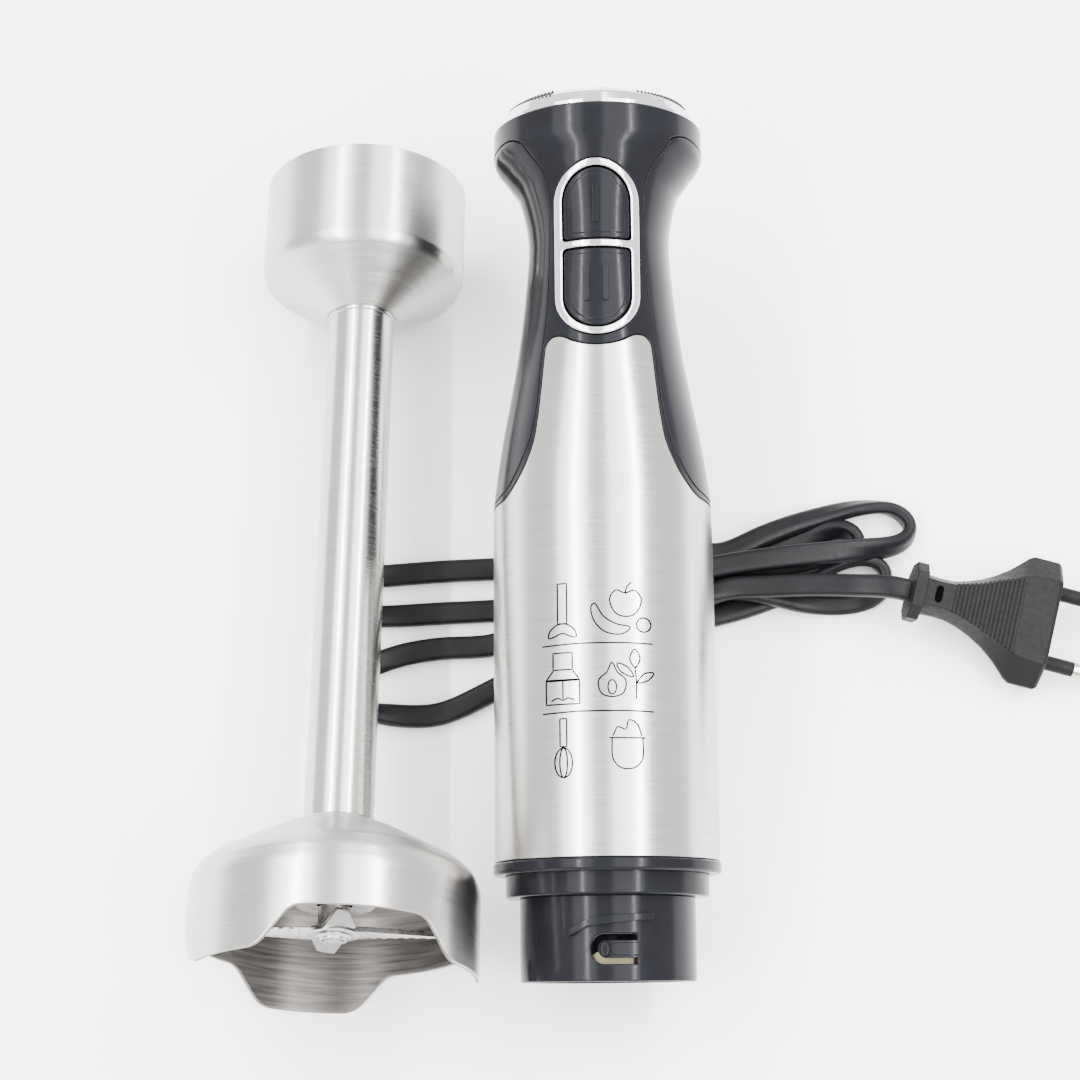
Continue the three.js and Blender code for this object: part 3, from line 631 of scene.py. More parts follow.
# The route after the relief: across the table under the handle, out to the left and back,
# twice, and out to the right in three loops. Each row is x, y, the height of whatever lies
# under the cord there, and the cord's roll: 0 flat and 90 on edge.
ROUTE = [
    (36.0, 53.0, 1.5, 0), (35.9, 43.0, 0.8, 0), (35.8, 30.0, 0, 0), (35.6, 19.0, 0, 30),
    (33.0, 10.0, 0, 80), (25.0, 6.6, 0, 60), (8.0, 6.1, 0, 5), (-6.0, 5.4, 0, 0), (-21.0, 4.1, 0, 10),
    (-29.0, 2.9, 0, 50), (-34.6, -1.6, 0, 88), (-30.0, -6.8, 0, 60), (-21.4, -7.2, 0, 10),
    (-6.0, -6.3, 0, 0), (8.0, -5.6, 0, 0), (24.0, -4.2, 0, 0), (40.0, -1.2, 0, 0), (54.0, 2.3, 0, 0),
    (67.0, 4.3, 0, 5), (82.0, 4.6, 0, 15), (95.0, 6.6, 0, 50), (103.0, 9.4, 0, 80), (105.4, 13.6, 0, 90),
    (101.0, 17.6, 0, 70), (92.0, 15.2, 0, 25), (80.0, 10.8, 0, 5), (67.0, 6.6, 3.0, 0),
    (54.0, 2.4, 4.2, 0), (36.0, -4.5, 4.2, 0), (22.0, -10.0, 2.0, 0), (8.0, -15.2, 0, 0),
    (-6.0, -16.0, 0, 0), (-18.0, -18.4, 0, 15), (-28.0, -23.4, 0, 70), (-31.0, -28.4, 0, 90),
    (-27.0, -32.8, 0, 70), (-20.6, -34.0, 0, 20), (-13.0, -34.6, 0, 0), (-6.0, -34.2, 0, 0),
    (8.0, -27.4, 0, 0), (24.0, -19.0, 0, 0), (44.0, -11.6, 0, 0), (67.0, -6.6, 0, 0), (78.0, -3.2, 0, 0),
    (88.0, 1.4, 0, 10), (98.0, 7.4, 2.5, 25), (106.5, 8.6, 1.0, 60), (112.0, 5.4, 0, 88),
    (110.6, -0.2, 0, 70), (103.0, -3.4, 0, 30), (91.0, -3.4, 0, 10), (78.0, -1.6, 3.7, 0),
    (67.0, -0.6, 3.7, 0), (54.0, -2.0, 5.0, 20), (43.0, -2.0, 6.6, 70), (39.6, 4.2, 7.0, 88),
    (43.0, 11.6, 5.5, 70), (52.0, 12.2, 4.4, 30), (60.0, 9.6, 4.2, 12), (67.0, 8.5, 4.0, 10),
    (80.0, 14.6, 3.6, 12), (94.0, 20.2, 1.4, 25), (107.0, 23.4, 0.4, 55), (115.6, 22.4, 0, 85),
    (119.3, 16.6, 0, 90), (115.0, 11.9, 1.6, 70), (103.0, 9.2, 5.8, 30), (85.0, 7.0, 7.2, 8),
    (67.0, 4.3, 7.2, 0), (57.0, 1.6, 7.2, 20), (48.6, -3.4, 7.2, 70), (51.0, -10.2, 7.0, 85),
    (59.5, -6.2, 6.6, 40), (67.0, -2.0, 6.6, 5), (78.0, -1.2, 6.6, 0), (91.0, -1.0, 7.4, 0),
    (102.0, -1.6, 8.6, 0),
]


def half_height(roll):
    turn = np.radians(roll)
    return np.hypot(CORD_WIDTH / 2 * np.sin(turn), CORD_THICK / 2 * np.cos(turn))


def cord_line():
    """The cord's centreline with its roll, from the relief's mouth to the plug's back."""
    route = [(*relief_point(d), 0) for d in (RELIEF_MOUTH, 24)]
    route += [(x, y, base + half_height(roll) + CORD_CLEARANCE, roll) for x, y, base, roll in ROUTE]
    route += [(*plug_point(d), 0) for d in (-4.5, -0.3)]
    return eased(spline(route, 1.3), 1.3, 3.2)


def eased(line, spacing, spread):
    """A line sampled evenly and smoothed over about `spread` either way, with its ends kept."""
    along = np.concatenate([[0], np.cumsum(np.linalg.norm(np.diff(line[:, :3], axis=0), axis=1))])
    even = np.linspace(0, along[-1], int(along[-1] / spacing) + 1)
    line = np.stack([np.interp(even, along, column) for column in line.T], 1)
    reach = int(3 * spread / spacing)
    weights = np.exp(-0.5 * (np.arange(-reach, reach + 1) * spacing / spread) ** 2)
    weights /= weights.sum()
    before = 2 * line[0] - line[reach:0:-1]
    after = 2 * line[-1] - line[-2:-reach - 2:-1]
    padded = np.vstack([before, line, after])
    return np.stack([np.convolve(column, weights, "valid") for column in padded.T], 1)


def cord_section():
    """The flat twin flex across: two round cores with a shallow groove between them."""
    points = []
    for i in range(28):
        a = 2 * math.pi * i / 28
        c, s = math.cos(a), math.sin(a)
        wide = CORD_WIDTH / 2 * math.copysign(abs(c) ** 0.72, c)
        thick = CORD_THICK / 2 * math.copysign(abs(s) ** 0.62, s)
        groove = 0.16 * math.exp(-(wide / 0.5) ** 2)
        points.append((wide, thick - math.copysign(groove, thick)))
    return points


def sweep(line, rolls, section):
    """A tube along a line, with the section's wide side level where the roll is nothing."""
    tangents = unit(np.gradient(line, axis=0))
    rings = []
    for p, t, roll in zip(line, tangents, rolls):
        side = unit(np.cross(t, [0, 0, 1]))
        turn = math.radians(roll)
        wide = side * math.cos(turn) + np.cross(side, t) * math.sin(turn)
        thick = np.cross(wide, t)
        rings.append([p + wide * a + thick * b for a, b in section])
    return lofted(rings)


WORLD = Matrix.Identity(4)
route = cord_line()
CENTRE = route[:, :3]
cord = piece("mains_cord", sweep(CENTRE, route[:, 3], cord_section()), WORLD, "handle", "cord_black",
             "head_cord", "cord_hank", "plug_cord", angle=50)

# ---------------- the handle's skin
HANDLE_ROWS = [
    (28.7, 27.4, 27.4, 27.4), (60.0, 27.3, 27.3, 27.3), (115.0, 27.1, 27.1, 27.1),
    (122.7, 26.3, 26.6, 26.4), (132.0, 24.9, 25.7, 25.2), (144.7, 22.5, 24.4, 23.2),
    (154.9, 20.7, 23.4, 21.7), (170.4, 18.7, 22.5, 20.3), (183.0, 17.8, 22.5, 20.0),
    (196.1, 20.0, 23.4, 21.6), (200.7, 22.9, 24.4, 23.6), (206.7, 26.5, 26.5, 26.5),
    (213.4, 26.5, 26.5, 26.5),
]
HEIGHTS = [row[0] for row in HANDLE_ROWS]
SIDE, FRONT_R, BACK = (monotone(HEIGHTS, [row[i] for row in HANDLE_ROWS]) for i in (1, 2, 3))
SKIN_R = 24.0
HALF_TURN = math.pi * SKIN_R


def on_handle(s, u):
    turn = s / SKIN_R
    depth = np.where(np.cos(turn) > 0, FRONT_R(u), BACK(u))
    return np.stack([SIDE(u) * np.sin(turn), u + 0 * s, depth * np.cos(turn)], 1)


HANDLE_SKIN = slopes(on_handle)


def across(x, u):
    """The skin coordinate of a point seen from the front at x."""
    return SKIN_R * math.asin(max(-1.0, min(1.0, x / float(SIDE(u)))))


def facing(points):
    """(x, u) points seen from the front, as skin coordinates."""
    return np.array([(across(x, u), u) for x, u in points])


def mirror(line):
    return np.array([(-s, u) for s, u in line[::-1]])


SLEEVE_FROM, SLEEVE_TOP = 28.7, 114.8
QUARTER = HALF_TURN / 2
TONGUE = [(23.1, 116.5), (19.4, 121.2), (16.1, 128.6), (14.9, 134.9), (13.9, 143.2), (13.2, 150.0),
          (12.7, 153.4), (11.4, 155.0), (9.4, 155.2), (6.0, 153.5), (3.0, 152.6), (0, 152.3)]
SEAM = [(21.5, 207.4), (18.6, 205.6), (16.5, 202.7), (14.2, 199.6), (12.6, 196.4), (11.7, 192), (11.7, 184),
        (11.9, 176), (12.6, 163.5), (14.3, 149), (15.4, 138), (18.1, 127.5), (22.7, 119.2)]
SEAM_GAP = 0.24
TONGUE_GAP = 0.3


def tongue_line():
    """The sleeve's upper border over the right half, from the back to the middle of the tongue."""
    back = [(HALF_TURN, SLEEVE_TOP), (HALF_TURN * 0.8, SLEEVE_TOP), (HALF_TURN * 0.62, SLEEVE_TOP + 0.1),
            (QUARTER, 115.2), (QUARTER * 0.82, 115.6)]
    return spline(back + [tuple(p) for p in facing(TONGUE)], 0.9)


def whole(half):
    """A right-hand border that ends in the middle, with its mirror image."""
    return np.vstack([half, mirror(half)[1:]])


def seam_line():
    """The border between the front and back shells on the right, from the top down."""
    line = [(QUARTER, 206.9), (QUARTER * 0.85, 207.2)] + [tuple(p) for p in facing(SEAM)]
    return spline(line + [(QUARTER * 0.84, 117.0), (QUARTER, 116.7)], 0.9)


def capsule_line(half_width, bottom, top, spacing=0.7):
    """A capsule seen from the front, anticlockwise from its upper right."""
    count = int(math.pi * half_width / spacing) + 1
    points = ellipse(0, top - half_width, half_width, half_width, count, 0, 180)
    points += ellipse(0, bottom + half_width, half_width, half_width, count, 180, 360)
    return filled(points, 2 * spacing, True)


def pill(length, width, spacing):
    """A long slot's outline about the origin, anticlockwise."""
    r = width / 2
    points = ellipse(length / 2 - r, 0, r, r, 7, -90, 90) + ellipse(r - length / 2, 0, r, r, 7, 90, 270)
    return filled(points, 2 * spacing, True)


def hole(line):
    """The same closed line the other way round."""
    return np.array(line)[::-1]


def shifted(line, by):
    """A line of skin coordinates moved to its right."""
    return offset(np.array(line), -by, False, 2 * HALF_TURN)[0]


def build_sleeve():
    count = 180
    low = np.array([(-HALF_TURN + 2 * HALF_TURN * i / count, SLEEVE_FROM) for i in range(count + 1)])
    upper = whole(tongue_line())
    solid = plate([low, upper], HANDLE_SKIN, 0, 0.8, 0.14, 1.9, 2 * HALF_TURN)
    piece("steel_sleeve_skin", solid, HANDLE, "handle", "steel", "steel_sleeve")


HEAD_TOP = 213.2
SHELL = 2.2
VENTS, VENT_FROM, VENT_PITCH, VENT_R = 5, 120, 3.6, 26
BEZEL_HALF, BEZEL_BOTTOM, BEZEL_TOP = 10.3, 155.0, 199.7
BEZEL_GAP = 0.15


def build_front_shell():
    """The shell round the buttons, with its two legs down beside the steel tongue."""
    seam = shifted(seam_line(), SEAM_GAP / 2)
    tongue = tongue_line()
    tongue = shifted(tongue[tongue[:, 0] < QUARTER + 0.5], TONGUE_GAP)
    top = [(QUARTER * (1 - i / 24), HEAD_TOP) for i in range(24, -1, -1)]
    side = [(QUARTER, HEAD_TOP - 1.6 * i) for i in range(1, 4)]
    right = np.vstack([top, side, seam[1:], [(QUARTER, 116.1)], tongue[1:]])
    outline = np.vstack([right, mirror(right)[1:-1]])[::-1]
    window = facing(capsule_line(BEZEL_HALF + BEZEL_GAP, BEZEL_BOTTOM - BEZEL_GAP, BEZEL_TOP + BEZEL_GAP))
    shell = plate([outline, hole(window)], HANDLE_SKIN, 0, SHELL, 0.3, 1.7)
    bed = facing([(-13, 150), (-22, 118), (22, 118), (13, 150), (9, 153)])
    under = plate([spline(bed, 2.0, True)], HANDLE_SKIN, -1.1, 1.0, 0.1, 3.0)
    solid = merged(shell, under)
    piece("front_shell", solid, HANDLE, "handle", "gloss_black", "front_housing")


def build_back_shell():
    seam = shifted(seam_line(), -SEAM_GAP / 2)
    turn = 2 * HALF_TURN
    left_seam = [(turn - s, u) for s, u in seam[::-1]]
    steps = int(turn - 2 * QUARTER)
    base = [(QUARTER + i, 115.15) for i in range(1, steps)]
    top = [(turn - QUARTER - i, HEAD_TOP) for i in range(steps + 1)]
    right, left = QUARTER + SEAM_GAP / 2, turn - QUARTER - SEAM_GAP / 2
    outline = np.vstack([[(right, 115.6)], base, [(left, 115.6)], left_seam, top,
                         [(right, HEAD_TOP)], seam])
    vent = [(-x * SKIN_R / VENT_R, y) for x, y in pill(18, 1.4, 0.8)]
    vents = [[(HALF_TURN + x, VENT_FROM + VENT_PITCH * i + y) for x, y in vent] for i in range(VENTS)]
    cord_hole = hole(ellipse(HALF_TURN, EXIT_HEIGHT - 0.6, 4.9, 6.6, 40))
    solid = plate([outline, *vents, cord_hole], HANDLE_SKIN, 0, SHELL, 0.3, 1.8)
    piece("back_shell", solid, HANDLE, "handle", "gloss_black", "rear_grip")


build_sleeve()
build_front_shell()
build_back_shell()

# ---------------- buttons and their frame
BAND = 1.9
BAR_HEIGHT = 178.4
KEY_GAP = 0.35
STROKE_PITCH = 4.4


def key_outlines(grow):
    """The two windows in the bezel, seen from the front, each grown by the same amount."""
    half = BEZEL_HALF - BAND + grow
    upper_low, lower_high = BAR_HEIGHT + BAND / 2 - grow, BAR_HEIGHT - BAND / 2 + grow
    top, bottom = BEZEL_TOP - BAND + grow, BEZEL_BOTTOM + BAND - grow
    upper = arch(half, upper_low, top, 1)
    lower = arch(half, bottom, lower_high, -1)
    return upper, lower


def arch(half, low, high, side, corner=1.1):
    """A key's outline, anticlockwise: round at its top (side 1) or bottom (side -1)."""
    flat, tip = (low, high) if side > 0 else (high, low)
    points = ellipse(0, tip - side * half, half, side * half, 25, 0, 180)
    inset = half - corner
    points += ellipse(-inset, flat + side * corner, corner, side * corner, 5, 180, 270)
    points += ellipse(inset, flat + side * corner, corner, side * corner, 5, 270, 360)
    return filled(points[::side], 1.2, True)


def build_bezel():
    outer = facing(capsule_line(BEZEL_HALF, BEZEL_BOTTOM, BEZEL_TOP, 0.6))
    windows = [hole(facing(window)) for window in key_outlines(0)]
    solid = plate([outer] + windows, HANDLE_SKIN, 0.55, 0.95, 0.55, 0.9, steps=5)
    piece("button_frame", solid, HANDLE, "handle", "chrome", "button_bezel")


def bars(count, centre):
    """Raised strokes on a key: one or two upright bars."""
    plates = []
    for i in range(count):
        x = (i - (count - 1) / 2) * STROKE_PITCH - 0.2
        outline = hole(facing([(x + across, centre + up) for up, across in pill(9.6, 1.5, 0.4)]))
        plates.append(plate([outline], HANDLE_SKIN, 0.98, 0.9, 0.24, 0.5))
    return plates


def build_keys():
    outlines = key_outlines(-KEY_GAP)
    pads = key_outlines(-KEY_GAP - 1.15)
    keys = (("key_one", "upper_button", "button_one", 188.2),
            ("key_two", "lower_button", "button_two", 168.2))
    for i, (name, body, node, centre) in enumerate(keys):
        base = plate([facing(outlines[i])], HANDLE_SKIN, 0.3, 2.4, 0.5, 1.2)
        raised = plate([facing(pads[i])], HANDLE_SKIN, 0.52, 0.8, 0.5, 1.2)
        solid = merged(base, raised, *bars(i + 1, centre))
        piece(name, solid, HANDLE, body, "gloss_black", node)


build_bezel()
build_keys()

# ---------------- collar, latch and dial
COLLAR_R, COLLAR_BORE = 21.3, 18.6
STEP_FROM, STEP_R = 20.1, 24.7
COLLAR_SKIN = cylinder(COLLAR_R)
COLLAR_TURN = math.pi * COLLAR_R
LATCH_ROOT, LATCH_HEIGHT = 7.3, 7.45


def arc(x):
    """The distance round the collar of a point seen from the front at x."""
    return COLLAR_R * math.asin(x / COLLAR_R)


def on_collar(points):
    return np.array([(arc(x), u) for x, u in points])


def tab(left, right, low, high, corner):
    """An outline square at its right and round at its left, anticlockwise."""
    points = [(right, low), (right, high)]
    points += ellipse(left + corner, high - corner, corner, corner, 7, 90, 180)
    points += ellipse(left + corner, low + corner, corner, corner, 7, 180, 270)
    return filled(points, 0.5, True)


def build_collar():
    count = 160
    low = np.array([(-COLLAR_TURN + 2 * COLLAR_TURN * i / count, 0) for i in range(count + 1)])
    high = np.array([(s, STEP_FROM + 0.1) for s, _ in low[::-1]])
    window = hole(on_collar(tab(-3.6, LATCH_ROOT, 4.0, 11.0, 3.1)))
    wall = plate([low, high, window], COLLAR_SKIN, 0, COLLAR_R - COLLAR_BORE, 0.4, 1.9, 2 * COLLAR_TURN)
    shoulder = lathe([
        (COLLAR_BORE + 0.4, 20.0), (STEP_R, 20.1, 0.6), (STEP_R, 28.4), (22.0, 28.4), (22.0, 36.0),
        (20.4, 36.0), (20.4, 23.4), (10.4, 23.4), (10.4, 30.5), (8.4, 30.5), (8.4, 23.4), (5.4, 23.4),
        (5.4, 21.0), (COLLAR_BORE + 0.4, 21.0),
    ])
    rib = [(-8.5, 11.3), (-8.0, 10.6), (-4.2, 12.7), (1.2, 13.4), (10.1, 14.3), (10.6, 15.1), (10.1, 15.9),
           (1.2, 15.3), (-4.5, 14.3), (-8.3, 12.1)]
    rib = [p for a, b in zip(rib, rib[1:] + rib[:1]) for p in (a, ((a[0] + b[0]) / 2, (a[1] + b[1]) / 2))]
    half_turn = Matrix.Rotation(math.pi, 4, "Y")
    cam = plate([on_collar(rib)], COLLAR_SKIN, 1.6, 2.0, 0.18, 0.8)
    whole_collar = merged(wall, shoulder, cam, moved(cam, half_turn))
    piece("collar", whole_collar, HANDLE, "handle", "gloss_black", "coupling_collar")
    ring = lathe([
        (25.0, 25.5), (27.2, 25.5, 0.5), (27.75, 26.1, 0.5), (27.75, 28.1, 0.35), (27.3, 28.5, 0.2),
        (25.0, 28.5),
    ])
    piece("trim_ring_turned", ring, HANDLE, "handle", "gloss_black", "trim_ring")


def build_latch():
    """The spring finger in the collar's window, its oval bump, and the leaf behind it."""
    tongue = on_collar(tab(-1.95, LATCH_ROOT + 1.2, 5.4, 9.5, 1.95))
    pad = on_collar(tab(1.2, LATCH_ROOT + 0.6, 5.9, 9.0, 1.2))
    finger = plate([tongue], COLLAR_SKIN, 0.04, 1.0, 0.2, 0.8)
    facet = plate([pad], COLLAR_SKIN, 0.22, 0.8, 0.3, 0.8)
    oval = ellipse(-0.3, LATCH_HEIGHT, 1.25, 1.85, 32)
    bump = plate([on_collar(oval)], COLLAR_SKIN, 0.8, 1.2, 0.7, 0.4, steps=5)
    solid = merged(finger, facet, bump)
    piece("latch_tongue", solid, HANDLE, "latch", "gloss_black", "latch_finger")
    leaf = plate([on_collar(tab(-4.4, LATCH_ROOT - 0.1, 3.4, 7.0, 3.0))], COLLAR_SKIN, -2.15, 0.45, 0.1, 0.8)
    piece("latch_leaf", leaf, HANDLE, "handle", "ivory")


def build_dial():
    body = lathe([
        (0, 216.4, 0), (3.1, 216.4), (3.1, 212.4), (5.6, 212.4), (5.6, 216.4), (22.8, 215.0), (22.8, 213.9),
        (25.0, 213.7, 0.3), (25.1, 214.6, 0.5), (24.4, 216.9, 1.6), (22.6, 218.5, 1.6), (19.5, 219.15, 3.0),
        (12.0, 219.4, 3.0), (0, 219.4, 0),
    ], 160)
    marks = []
    for side in (-1, 1):
        for i in range(16):
            length = 0.7 + 0.13 * i if side < 0 else 2.6 - 0.11 * i
            turn = Matrix.Rotation(math.radians(side * (66 - 2.6 * i)), 4, "Y")
            lean = Matrix.Rotation(math.radians(48), 4, "X")
            tick = block(0.34, 0.36, length, (0, 0, 0))
            marks.append(moved(tick, turn @ Matrix.Translation((0, 217.55, 23.75)) @ lean))
    piece("dial_cap", body, HANDLE, "dial", "chrome", "speed_dial")
    piece("dial_marks", merged(*marks), HANDLE, "dial", "satin_black", angle=30)


def build_relief():
    """The ribbed, tapered boot round the cord where it leaves the head."""
    outline = [(1.9, -18.5), (3.5, -18.5, 0.6)]
    for i in range(6):
        h = -16.6 + 2.6 * i
        r = 3.5 + 0.13 * i
        outline += [(r, h, 0.15), (r - 0.9, h + 0.15, 0.2), (r - 0.9, h + 1.05, 0.2), (r, h + 1.2, 0.15)]
    outline += [(4.3, 0, 0.2), (4.3, 3.3, 0.2), (5.6, 3.3), (5.6, 5.1), (1.9, 5.1)]
    lean = Matrix.Translation((0, EXIT_HEIGHT, EXIT_DEPTH)) @ Matrix.Rotation(EXIT_LEAN, 4, "X")
    boot = moved(lathe(outline, 48), lean)
    piece("cord_boot", boot, HANDLE, "handle", "rubber", "strain_relief")


build_collar()
build_latch()
build_dial()
build_relief()

# ---------------- blending shaft
BELL_R, BELL_SHOULDER, SHEET = 34.9, 20.9, 0.9
BELL_SKIN_R = 30.0
BELL_TURN = math.pi * BELL_SKIN_R
NOTCH_TOP, NOTCH_HALF, NOTCH_FOOT = 9.1, 26.5, 40.0
FEET = (75, 195, 315)
TUBE_R = 8.5


def revolved(outline, radius):
    """A surface turned from an open (radius, height) line: u runs along the line."""
    points, normals = rounded(outline, False)
    along = np.concatenate([[0], np.cumsum(np.linalg.norm(np.diff(points, axis=0), axis=1))])

    def surface(s, u):
        turn = s / radius
        r, h, nr, nh = (np.interp(u, along, column) for column in (*points.T, *normals.T))
        length = np.hypot(nr, nh)
        nr, nh = nr / length, nh / length
        sin, cos = np.sin(turn), np.cos(turn)
        place = np.stack([r * sin, h, r * cos], 1)
        normal = np.stack([nr * sin, nh, nr * cos], 1)
        es = np.stack([cos, 0 * sin, -sin], 1)
        return place, normal, es, np.cross(normal, es)
    return surface, float(along[-1])


def foot_line():
    """The guard's lower border once round: three feet with swept notches between them."""
    scale = BELL_TURN / 180
    rim = []
    for foot in sorted(((foot + 60 + 180) % 360) - 180 for foot in FEET):
        rim += [(foot - NOTCH_FOOT, 0, 5.5), (foot - NOTCH_HALF, NOTCH_TOP, 4.5),
                (foot + NOTCH_HALF, NOTCH_TOP, 4.5), (foot + NOTCH_FOOT, 0, 5.5)]
    wrapped = [(rim[-1][0] - 360, 0, 5.5)] + rim + [(rim[0][0] + 360, 0, 5.5)]
    line, _ = rounded([(a * scale, h, c) for a, h, c in wrapped], False)
    dense = filled(line, 1.0)
    dense = dense[np.argsort(dense[:, 0])]
    edge = float(np.interp(-BELL_TURN, dense[:, 0], dense[:, 1]))
    within = dense[(dense[:, 0] > -BELL_TURN + 0.3) & (dense[:, 0] < BELL_TURN - 0.3)]
    return np.vstack([[(-BELL_TURN, edge)], within, [(BELL_TURN, edge)]])


def build_bell():
    outline = [(BELL_R, 0), (BELL_R, BELL_SHOULDER, 2.2), (33.7, 24.6, 2.2), (30.3, 27.7, 6),
               (15.7, 35.5, 20), (TUBE_R + 1.2, 38.2)]
    surface, length = revolved(outline, BELL_SKIN_R)
    low = foot_line()
    high = np.array([(BELL_TURN - 2 * BELL_TURN * i / 150, length) for i in range(151)])
    solid = plate([low, high], surface, 0, SHEET, 0.3, 2.0, 2 * BELL_TURN)
    bell = piece("bell_guard", solid, SHAFT, "shaft_unit", "steel", "blade_guard")
    # the faces inside the guard get steel darkened with painted shade
    paint_shade_inside(bell, "inside_steel_painted_shade")


def paint_shade_inside(obj, look):
    """Gives the faces that look towards the shaft's axis a finish of their own: rougher steel whose much darker
    colour is painted shade.
    """
    obj.data.materials.append(LOOKS[look])
    for face in obj.data.polygons:
        x, _, z = face.center
        outward = face.normal.x * x + face.normal.z * z + face.normal.y * 0.8 * math.hypot(x, z)
        face.material_index = 1 if outward < 0 else 0


def build_tube_and_cup():
    tube = lathe([(TUBE_R - 0.9, 22.0), (TUBE_R, 22.0, 0.1), (TUBE_R, 178.2, 0.1), (TUBE_R - 0.9, 178.2)], 96)
    weld_ring = lathe([(TUBE_R - 0.2, 175.2), (TUBE_R + 0.35, 175.6, 0.3), (TUBE_R + 0.45, 176.4, 0.3),
                       (TUBE_R - 0.2, 176.8)], 96)
    foot_ring = lathe([(TUBE_R - 0.2, 37.4), (TUBE_R + 1.3, 37.5, 0.3), (TUBE_R + 0.5, 38.6, 0.4),
                       (TUBE_R - 0.2, 38.9)], 96)
    solid = merged(tube, weld_ring, foot_ring)
    piece("main_tube", solid, SHAFT, "shaft_unit", "tube_steel", "shaft_tube")
    cup = lathe([
        (TUBE_R + 0.2, 176.3), (TUBE_R + 0.9, 176.3, 0.4), (25.6, 186.9, 20.0), (26.4, 189.0, 2.2),
        (26.4, 214.4, 0.35), (25.5, 214.4, 0.35), (25.5, 188.9, 1.4), (TUBE_R + 0.2, 177.6),
    ], 160)
    piece("cup_shell", cup, SHAFT, "shaft_unit", "steel", "coupling_cup")
    cap = lathe([(4.2, 18.0), (9.6, 18.0, 0.8), (10.4, 19.0, 0.6), (10.4, 26.0), (8.8, 26.0), (8.8, 21.7),
                 (4.2, 21.7)], 72)
    piece("seal_retainer", cap, SHAFT, "shaft_unit", "blade_steel", "seal_cap")


BLADE_HEIGHT = 11.4
BLADE_R = 26.8


def ribbon(samples, lead, trail, lift, thickness=1.3, ground=0.5):
    """A blade arm along x: a flat bar with its lead edge ground thin, from functions of x."""
    rings = []
    for x in samples:
        a, b = lead(x), trail(x)
        ridge = b + (a - b) * (1 - ground)
        px, py, slope = lift(x)
        up = np.array([-math.sin(slope), math.cos(slope)]) * thickness / 2
        upper = [(px + up[0] * share, py + up[1] * share, y) for y, share in ((a, 0.12), (ridge, 1), (b, 1))]
        lower = [(px - up[0] * share, py - up[1] * share, y) for y, share in ((b, 1), (ridge, 1), (a, 0.12))]
        rings.append(upper + lower)
    return lofted(rings)


def flat(x):
    return x, 0.0, 0.0


def bent(start, angle):
    """The lift of an arm bent by an angle past a radius, with a soft fold."""
    def lift(x):
        fold = 1.6
        if x <= start:
            return x, 0.0, 0.0
        if x < start + fold:
            turn = angle * (x - start) / fold
            r = fold / angle
            return start + r * math.sin(turn), r * (1 - math.cos(turn)), turn
        sx, sy, _ = lift(start + fold - 1e-6)
        rest = x - start - fold
        return sx + rest * math.cos(angle), sy + rest * math.sin(angle), angle
    return lift


def taper(x):
    return max(0.0, (x - 8) / (BLADE_R - 8))


def scalloped(x):
    return -4.4 + 2.8 * taper(x) + (abs(math.sin((x - 7) * math.pi / 2.6)) if x > 7 else 0)


def toothed(x):
    return -4.4 + 2.8 * taper(x) + (1.4 if x > 8 and x % 2.4 < 1.0 else 0)


def blade_back(x):
    return 4.3 - 2.6 * taper(x)


def winglet_edge(x):
    return -4.6 + max(0.0, x - 4.5) * 0.72


def winglet_back(x):
    return 4.4 - max(0.0, x - 4.5) * 0.42


def winglet(reach, angle):
    lift = bent(4.4, math.radians(angle))
    return ribbon(np.arange(2.9, reach, 0.2), winglet_edge, winglet_back, lift, ground=0.35)


def build_cutter():
    along = np.arange(3.2, BLADE_R + 0.01, 0.2)
    arms = [(95, ribbon(along, scalloped, blade_back, flat)), (275, ribbon(along, toothed, blade_back, flat)),
            (22, winglet(10.2, 48)), (202, winglet(8.8, -48))]
    plates = []
    for azimuth, arm in arms:
        spin = Matrix.Translation((0, BLADE_HEIGHT, 0)) @ Matrix.Rotation(math.radians(azimuth - 90), 4, "Y")
        plates.append(moved(arm, spin))
    hub = lathe([(2.8, BLADE_HEIGHT - 0.7), (6.3, BLADE_HEIGHT - 0.7, 0.2), (6.3, BLADE_HEIGHT + 0.7, 0.2),
                 (2.8, BLADE_HEIGHT + 0.7)], 64)
    piece("cutting_blade", merged(*plates, hub[:2]), SHAFT, "cutter", "blade_steel", "blade", angle=28)
    spacer = lathe([(2.8, 12.5), (3.9, 12.5, 0.3), (3.9, 17.6, 0.3), (2.8, 17.6)], 48)
    piece("hub_spacer", spacer, SHAFT, "cutter", "blade_steel", "blade_spacer")
    nut = lathe([(2.65, 9.35), (3.3, 9.35, 0.25), (3.55, 10.0, 0.3), (4.3, 10.3, 0.2), (4.3, 10.7, 0.1),
                 (2.65, 10.7)], 64)
    piece("hub_collar", nut, SHAFT, "cutter", "blade_steel", "blade_nut")


build_bell()
build_tube_and_cup()
build_cutter()

# ---------------- the plug
# Sections along the plug: distance from its back, half-width of its top, half-width of
# its middle, half-thickness, and half-height of its sides.
PLUG_SECTIONS = [
    (0.0, 4.6, 7.5, 6.4, 3.0), (3.0, 4.6, 7.5, 6.4, 3.0), (3.05, 3.5, 5.2, 5.5, 1.4),
    (7.0, 3.3, 5.0, 5.5, 1.2), (10.5, 3.5, 5.2, 5.6, 0.9), (14.0, 4.4, 6.2, 5.7, 0.7),
    (17.5, 5.5, 7.6, 5.9, 0.6), (21.0, 7.0, 9.6, 6.1, 0.6), (24.5, 8.4, 12.2, 6.3, 0.6),
    (27.0, 9.6, 14.6, 6.5, 0.6), (28.6, 10.3, 16.2, 6.6, 0.7), (30.0, 10.8, 17.0, 6.7, 0.8),
    (36.6, 11.2, 17.0, 6.7, 0.8), (37.5, 10.7, 16.3, 6.2, 0.6),
]
PIN_SPACING = 18.6


